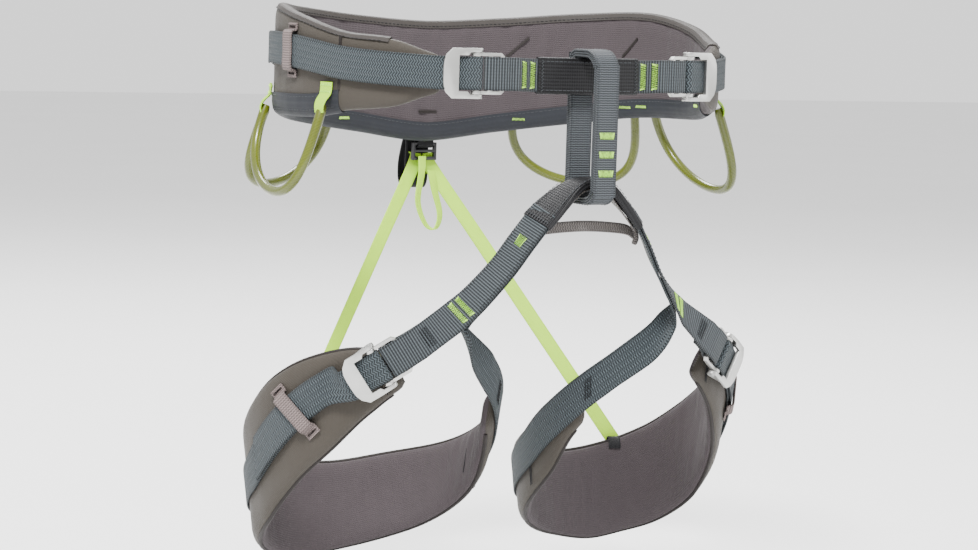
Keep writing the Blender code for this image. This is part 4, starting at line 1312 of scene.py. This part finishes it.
def sleeve_over(paints, name, path, widths, node):
    """A knitted sleeve with stitched, drawn-in ends."""
    stations = [(centre, half.normalized() * width) for (centre, half), width in zip(path, widths)]
    centres = [centre for centre, _ in stations]
    thick = 3.1
    last = len(stations) - 1
    outline = []
    for turn in range(28):
        angle = 2 * math.pi * turn / 28
        c, s = math.cos(angle), math.sin(angle)
        outline.append((math.copysign(abs(c) ** 0.35, c), math.copysign(abs(s) ** 0.55, s)))
    sections = []
    for i, ((centre, half), way) in enumerate(zip(stations, tangents(centres))):
        snug = 0.86 if i in (0, last) else 1
        wide = half * (0.97 + 0.03 * snug)
        deep = way.cross(half).normalized() * (thick * snug)
        sections.append([centre + wide * a + deep * b for a, b in outline])
    width = stations[0][1].length
    across = [a * width + b * thick for a, b in outline]
    across.append(across[0])
    made = skin(name, sections, across, lengths_of(centres), paints["sleeve"])
    dress(made, "waist_belt", "tie_in_sleeve", node)
    strap = Strap(stations, 2 * thick, 2)
    runs = []
    for at in (2.2, strap.length() - 2.2):
        for lift in (0.12, -2 * thick - 0.12):
            runs.append(zigzag(strap.tack(at, lift), 1.6, width * 1.7, 9))
    for across_by in (-width + 2.6, width - 2.6):
        runs += dashes(strap.row(across_by), 5, strap.length() - 5)
    sew(name + "_stitches", runs, FINE_THREAD, paints["grey_thread"], "waist_belt", "tie_in_sleeve")


def waist_keeper(paints, word, side):
    point, way, out = belt_at(WAIST_KEEPER_AT)
    middle = point + UP * webbing_height(WAIST_KEEPER_AT)
    points = keeper_path(middle, UP, out, 17.5, 9.9, 5.9)
    path = [(point, way * KEEPER_HALF) for point in points]
    elastic(paints, f"waist_keeper_{word}", path, side, "waist_belt")


def elastic(paints, node, path, side, body):
    """An elastic keeper with a line of stitches at each sewn end."""
    strap = Strap(path, 1.2, 4, side=side)
    dress(strap.mesh(node + "_woven", paints["keeper"]), body, "elastic_webbing", node)
    runs = []
    for at in (2.4, strap.length() - 2.4):
        for lift in (0.15, -1.35):
            def tack(a, b, along=at, up=lift):
                return strap.at(along + b, a, up)

            runs.append(zigzag(tack, 8, 1.6, 6))
    sew(node + "_stitches", runs, 0.2, paints["keeper_thread"], body, "elastic_webbing", side)


def belay_loop(paints):
    """Three layers of webbing sewn together, with lime tacks on the front strand."""
    ply = 1.68
    corners = (
        (BELAY_REAR - 6, BELAY_TOP - 6, 6),
        (BELAY_FRONT + 13, BELAY_TOP - 13, 13),
        (BELAY_FRONT + 9, BELAY_BOTTOM + 9, 9),
        (BELAY_REAR - 9, BELAY_BOTTOM + 9, 9),
    )
    outline = []
    for quarter, (y, z, radius) in enumerate(corners):
        outline += arc(y, z, radius, 90 * quarter, 90 * quarter + 90, 6)
    half = Vector((BELAY_HALF, 0, 0))
    centres = [Vector((0, y, z)) for y, z in outline]
    faces = [way.cross(half).normalized() for way in tangents(centres, True)]
    for i, offset in enumerate((-ply, 0, ply)):
        wide = half * (0.97 if i == 1 else 1)
        path = [(centre + face * offset, wide) for centre, face in zip(centres, faces)]
        layer = Strap(path, BELAY_LAYER, 3, closed=True)
        nodes = ("belay_loop",) if i == 1 else ()
        made = layer.mesh(f"belay_layer_{i + 1}", paints["belay"])
        dress(made, "belay_loop", "harness_webbing", *nodes)
        if i != 1:
            sew_layer(paints, layer, i)


def sew_layer(paints, layer, index):
    """Edge stitching on a layer, and the tacks where its face looks forwards."""
    front = layer.nearest(Vector((0, BELAY_FRONT, -40)))
    looks_out = layer.at(front, 0, 1).y < layer.at(front, 0, 0).y
    shown = looks_out == (layer.at(front, 0, 0).y < BELAY_FRONT)
    lift = 0.0 if shown else -BELAY_LAYER
    sign = 1 if shown else -1
    runs = []
    for across in (-6.4, 6.4):
        runs += dashes(layer.row(across, lift, sign), 0, layer.length() - 3)
    sew(f"belay_stitches_{index}", runs, 0.2, paints["grey_thread"], "belay_loop", "harness_webbing")
    if layer.at(front, 0, lift).y > BELAY_FRONT - 1.5:
        return
    runs = []
    for height in (-33, -44.5, -56):
        at = layer.nearest(Vector((0, BELAY_FRONT, height)))
        runs += bar_tack(layer.tack(at, lift + sign * 0.3), (4.0, 10.5, 11), (3.2, 9.5, 8))
    sew("belay_tacks", runs, TACK_THREAD, paints["lime_thread"], "belay_loop", "harness_webbing")


def lower_tie_in(paints):
    stations = route(bight_knots(), 3)
    core = strap_stations(stations, LAYER_STEP / 2, bight_half)
    thick = WEBBING_THICK + LAYER_STEP
    place = ("waist_belt", "harness_webbing", "lower_tie_in_webbing")
    woven("lower_tie_in_woven", core, thick, 3, paints["webbing"], *place)
    fine = refined(core, 3, False)
    widths = [half.length + 1.2 for _, half in fine]
    sleeve_over(paints, "lower_sleeve_knit", fine, widths, "lower_tie_in_sleeve")
    lining = []
    for centre, half in strap_stations(stations, LAYER_STEP / 2 + 4.1, bight_half):
        lining.append((centre, half * 0.85))
    place = ("waist_belt", "elastic_webbing", "lower_tie_in_lining")
    woven("lower_lining_woven", lining, 0.9, 3, paints["cross"], *place)


def cross_strap(paints):
    """Elastic between the leg loops, with a knob at each end."""
    sag = (
        (-39, -110, -97), (-30, -111.5, -93.5), (0, -112.5, -91.5), (30, -111.5, -93.5), (39, -110, -97),
    )
    width = Vector((0, 0.35, 0.94)) * 3.6
    path = [(point, width) for point in through([Vector(p) for p in sag], 3)]
    paint = paints["cross"]
    woven("cross_strap_woven", path, 1.5, 3, paint, "waist_belt", "elastic_webbing", "leg_cross_strap")
    hook = ((38, -110.2, -92), (41, -109.3, -96), (42.5, -108.7, -100), (41, -108.5, -104))
    curl = through([Vector(p) for p in hook], 4)
    for word, side in SIDES:
        knob = round_tube(f"cross_strap_knob_{word}", curl, 1.9, paint, side, 10)
        dress(knob, "waist_belt", "elastic_webbing")


# Leg straps


def leg_straps(paints, word, side):
    seat = leg_seat()
    body = f"leg_loop_{word}"
    mouth = mirrored(Vector(BIGHT_ROUTE[-1][0]), side)
    further = mirrored(Vector((46, -114.6, -99)), side)
    stations = bight_tail() + trimmed(route(STRAP_ROUTE, 3), MOUTH_GAP)
    front_path = strap_stations(stations, 0, full_half)
    front = Strap([*front_path, *link_loop(front_path[-1], seat)], WEBBING_THICK, 3, side=side)
    made = front.mesh(f"leg_strap_woven_{word}", paints["ribbed"])
    bend(made, body, "harness_webbing", mouth, further, f"leg_strap_{word}")

    path = strap_stations(stations, LAYER_STEP + 0.1, full_half)[:-4]
    first, last = LEG_WEBBING_SPANS
    ring = leg_webbing_path(first, last, WEBBING_OUT)[::-1]
    peel = [(Vector(point), Vector(across)) for point, across in THIGH_ROUTE]
    path += evenly_wide([*path[-1:], *peel, *ring[:1]], WEBBING_HALF)[1:-1]
    path += ring
    path += seat.strip(roll_points())
    path += leg_webbing_path(first, LEG_TAIL_SPAN, TAIL_OUT)
    back = Strap(path, WEBBING_THICK, 4, side=side)
    made = back.mesh(f"leg_webbing_woven_{word}", paints["webbing"])
    bend(made, body, "harness_webbing", mouth, further, f"leg_webbing_{word}")
    strap_stitches(paints, word, side, front, back, seat)
    leg_keeper(paints, word, side)


def bight_tail():
    """The strap's last stretch inside the sleeve, where the join is hidden."""
    point, face = BIGHT_ROUTE[-1]
    way = (Vector(STRAP_ROUTE[1][0]) - Vector(point)).normalized()
    return [(Vector(point) - way * back, Vector(face)) for back in (9, 4)]


def strap_stitches(paints, word, side, front, back, seat):
    """Tacks at the sleeve's mouth, the fork, the buckle and the inner thigh, and rows between."""
    body = f"leg_loop_{word}"
    near_mouth = front.nearest(Vector((47, -114.3, -101)))
    fork = front.nearest(Vector((84, -100.9, -147)))
    lime = [zigzag(front.tack(near_mouth), 7, 6, 6)]
    for at in (fork - 6, fork):
        lime += bar_tack(front.tack(at), (3.6, 16, 14), (2.8, 15, 10))
    sew(f"leg_tacks_{word}", lime, TACK_THREAD, paints["lime_thread"], body, "harness_webbing", side)
    shifts = (-2.2, 0, 2.2)
    buckle = front.nearest(seat.at(LINK_REACH, 8.0))
    dark = [zigzag(front.tack(buckle + shift), 1.2, 13, 7) for shift in shifts]
    thigh = back.nearest(Vector((40, -62, -200)))
    for lift in (0.25, -WEBBING_THICK - 0.25):
        dark += [zigzag(back.tack(thigh + shift, lift), 1.2, 14, 8) for shift in shifts]
    for across in (-8.6, 8.6):
        dark += dashes(front.row(across), near_mouth - 4, fork - 10)
    sew(f"leg_stitches_{word}", dark, FINE_THREAD, paints["dark_thread"], body, "harness_webbing", side)


def leg_keeper(paints, word, side):
    ahead = leg_point(LEG_KEEPER_AT - 3, 0, leg_webbing_height(LEG_KEEPER_AT - 3))
    behind = leg_point(LEG_KEEPER_AT + 3, 0, leg_webbing_height(LEG_KEEPER_AT + 3))
    way = (ahead - behind).normalized()
    reach = 19
    level = math.hypot(way.x, way.y)
    flat = ((-reach, 6.2), (-reach + 5, 6.4), (-reach + 7, 10), (-5, 10), (5, 10))
    flat += ((reach - 7, 10), (reach - 5, 6.4), (reach, 6.2))
    degrees_per_mm = 6 / ((ahead - behind) * level).length
    middle = leg_webbing_height(LEG_KEEPER_AT)
    path = []
    for along, lift in flat:
        turn = LEG_KEEPER_AT + along * way.z * degrees_per_mm
        path.append((leg_point(turn, lift, middle + along * level), way * KEEPER_HALF))
    elastic(paints, f"leg_keeper_{word}", path, side, f"leg_loop_{word}")


def riser(paints, word, side):
    """Elastic from the rear buckle down to the outer face of the leg pad, and the tab behind it."""
    body = f"leg_loop_{word}"
    angle = RISER_AT[side]
    height = leg_pad_top(angle)
    behind = Vector((0, 1, 0))
    top_y = BELT_BACK + REAR_BUCKLE_OUT[1] + 1.3
    top = Vector((5.5 + REAR_X * side, top_y, REAR_BUCKLE_BOTTOM + 5))
    _, out = leg_at(angle)
    edge = leg_point(angle, 6.6, height)
    bend_at = top + Vector((1.2, -0.4, -9))
    way = (edge - bend_at).normalized()
    foot = edge + (way - out * way.dot(out)).normalized() * 12
    knots = [(top, behind), (bend_at, behind)]
    for part in (0.25, 0.5, 0.75):
        knots.append((bend_at.lerp(edge, part), behind.lerp(out, part)))
    knots += [(edge, out), (foot, out)]
    path = []
    for (point, face), direction in zip(knots, tangents([point for point, _ in knots])):
        path.append((point, face.cross(direction).normalized() * RISER_HALF))
    strap = Strap(path, RISER_THICK, 5, side=side)
    made = strap.mesh(f"riser_woven_{word}", paints["lime_elastic"])
    bend(made, body, "lime_elastic", mirrored(bend_at, side), mirrored(edge, side), f"riser_{word}")
    runs = []
    for lift in (0.25, -RISER_THICK - 0.25):
        runs.append(zigzag(strap.tack(strap.length() - 4, lift), 3.4, 8, 6))
    sew(f"riser_tacks_{word}", runs, 0.28, paints["dark_thread"], body, "lime_elastic", side)
    across = (leg_point(angle + 3.6, 0, height) - leg_point(angle - 3.6, 0, height)) / 2
    path = [(leg_point(angle, out_by, height - down), across) for out_by, down in RISER_TAB]
    made = Strap(path, 0.8, 4, side=side).mesh(f"riser_tab_woven_{word}", paints["tape"])
    dress(made, body, "black_tape", f"riser_tab_{word}")


# Gear loops


def gear_loop(paints, place, word, side):
    first, last, hang_by = GEAR_LOOPS[place]
    start = gear_anchor(first)
    stop = gear_anchor(last)
    middle = (start + stop) / 2
    chord = (stop - start) / 2
    flare = math.radians(GEAR_FLARE)
    out = Vector((chord.y, -chord.x, 0)).normalized()
    down = out * math.sin(flare) - UP * math.cos(flare)
    points = []
    for angle in spread(0, 180, 65):
        c = math.cos(math.radians(angle))
        s = max(math.sin(math.radians(angle)), 0)
        sideways = c * (1 + 0.12 * s) + GEAR_SKEW * s * s
        points.append(middle - chord * sideways + down * (hang_by * s**0.85))
    body = f"gear_loop_{place}_{word}"
    made = round_tube(body + "_tube", points, GEAR_RADIUS, paints["tube"], side)
    dress(made, body, "gear_loop_plastic", body)
    for i, distance in enumerate((first, last)):
        gear_tab(paints, f"gear_tab_{place}_{word}_{i + 1}", body, distance, side)


def gear_tab(paints, node, body, distance, side):
    """Lime tape sewn on the band, folded over the end of the tube."""
    low = pad_bottom(distance) + GEAR_RAISE
    _, way, _ = belt_at(distance)
    path = []
    for rise, out_by, half in GEAR_TAB:
        path.append((belt_point(distance, out_by, low + rise), way * half))
    strap = Strap(path, 0.9, 4, side=side)
    made = strap.mesh(node + "_woven", paints["lime_tape"])
    bend(made, body, "lime_elastic", mirrored(path[3][0], side), mirrored(path[0][0], side), node)
    runs = []
    for at in (strap.length() - 1.8, strap.length() - 6.5):
        for lift in (0.25, -1.15):
            runs.append(zigzag(strap.tack(at, lift), 1.4, 8.4, 6))
    sew(node + "_stitches", runs, 0.24, paints["lime_thread"], "waist_belt", "lime_elastic", side)


# Buckles and the rear of the belt


def softened(node, width, paint, body, slot):
    """The CAD piece with its flat faces made whole and every edge rounded over."""
    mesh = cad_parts[node].data.copy()
    work = bmesh.new()
    work.from_mesh(mesh)
    bmesh.ops.remove_doubles(work, verts=work.verts, dist=2e-6)
    bmesh.ops.dissolve_limit(work, angle_limit=math.radians(1.5), verts=work.verts, edges=work.edges)
    work.to_mesh(mesh)
    work.free()
    mesh.materials.clear()
    mesh.materials.append(paint)
    mesh.shade_smooth()
    made = bpy.data.objects.new(node + "_finished", mesh)
    bpy.context.scene.collection.objects.link(made)
    edge = made.modifiers.new("rounded_edges", "BEVEL")
    edge.width = width * MM
    edge.segments = 3
    edge.limit_method = "ANGLE"
    edge.angle_limit = math.radians(28)
    edge.harden_normals = True
    return dress(made, body, slot, node)


def buckles(paints):
    metal = paints["metal"]
    for word, _ in SIDES:
        for place, body in (("waist", "waist_belt"), ("leg", f"leg_loop_{word}")):
            frame = f"{place}_buckle_frame_{word}"
            softened(frame, 0.75, metal, frame, "buckle_metal")
            softened(f"{place}_buckle_link_{word}", 0.8, metal, body, "buckle_metal")
            softened(f"{place}_buckle_pin_{word}", 0.4, metal, body, "buckle_metal")


def rear_fittings(paints):
    """The plastic buckle behind, its tape, the risers' spare tail and the haul loop."""
    softened("riser_buckle", 0.5, paints["plastic"], "waist_belt", "black_plastic")
    top = REAR_BUCKLE_TOP - 1
    low, high = REAR_BUCKLE_OUT
    middle = BELT_BACK + (low + high) / 2
    bar = (high - low) / 2 + 0.9
    points = [(BELT_BACK + 6.8, -36), (BELT_BACK + 6.8, -46)]
    points += arc(middle, top, bar, 180, 360, 6)
    points += [(middle + bar, top + 3), (middle + bar - 1.6, top + 12)]
    path = [(Vector((REAR_X, y, z)), Vector((6, 0, 0))) for y, z in points]
    woven("rear_tape_woven", path, 0.9, 3, paints["tape"], "waist_belt", "black_tape", "riser_anchor_tape")

    y = BELT_BACK + REAR_BUCKLE_OUT[0] - 1.6
    tail = through([Vector((x + REAR_X, y + back, z)) for x, back, z in RISER_TAIL], 3)
    path = []
    for i, point in enumerate(tail):
        turn = math.radians(35 * math.sin(math.pi * i / (len(tail) - 1)))
        path.append((point, Vector((math.cos(turn), math.sin(turn), 0)) * 3.0))
    paint = paints["lime_elastic"]
    woven("riser_tail_woven", path, 1.0, 3, paint, "waist_belt", "lime_elastic", "riser_tail_loop")

    knots = [HAUL_PIVOT + Vector((0, back, z)) for back, z in (*HAUL_LOOP, HAUL_LOOP[0])]
    path = [(point, Vector((HAUL_HALF, 0, 0))) for point in through(knots, 3)[:-1]]
    made = Strap(path, 1.6, 3, closed=True)
    dress(made.mesh("haul_loop_woven", paints["tape"]), "haul_loop", "black_tape", "haul_loop")


def main():
    add_camera()
    add_studio()
    paints = make_paints()
    waist_pads(paints)
    waist_straps(paints)
    belay_loop(paints)
    lower_tie_in(paints)
    cross_strap(paints)
    buckles(paints)
    rear_fittings(paints)
    for word, side in SIDES:
        leg_pads(paints, word, side)
        leg_straps(paints, word, side)
        riser(paints, word, side)
        for place in GEAR_LOOPS:
            gear_loop(paints, place, word, side)
    looks_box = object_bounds()
    boxes = {"cad": CAD_BOX, "looks": looks_box}
    {name: [list(corner) for corner in box] for name, box in boxes.items()}


main()
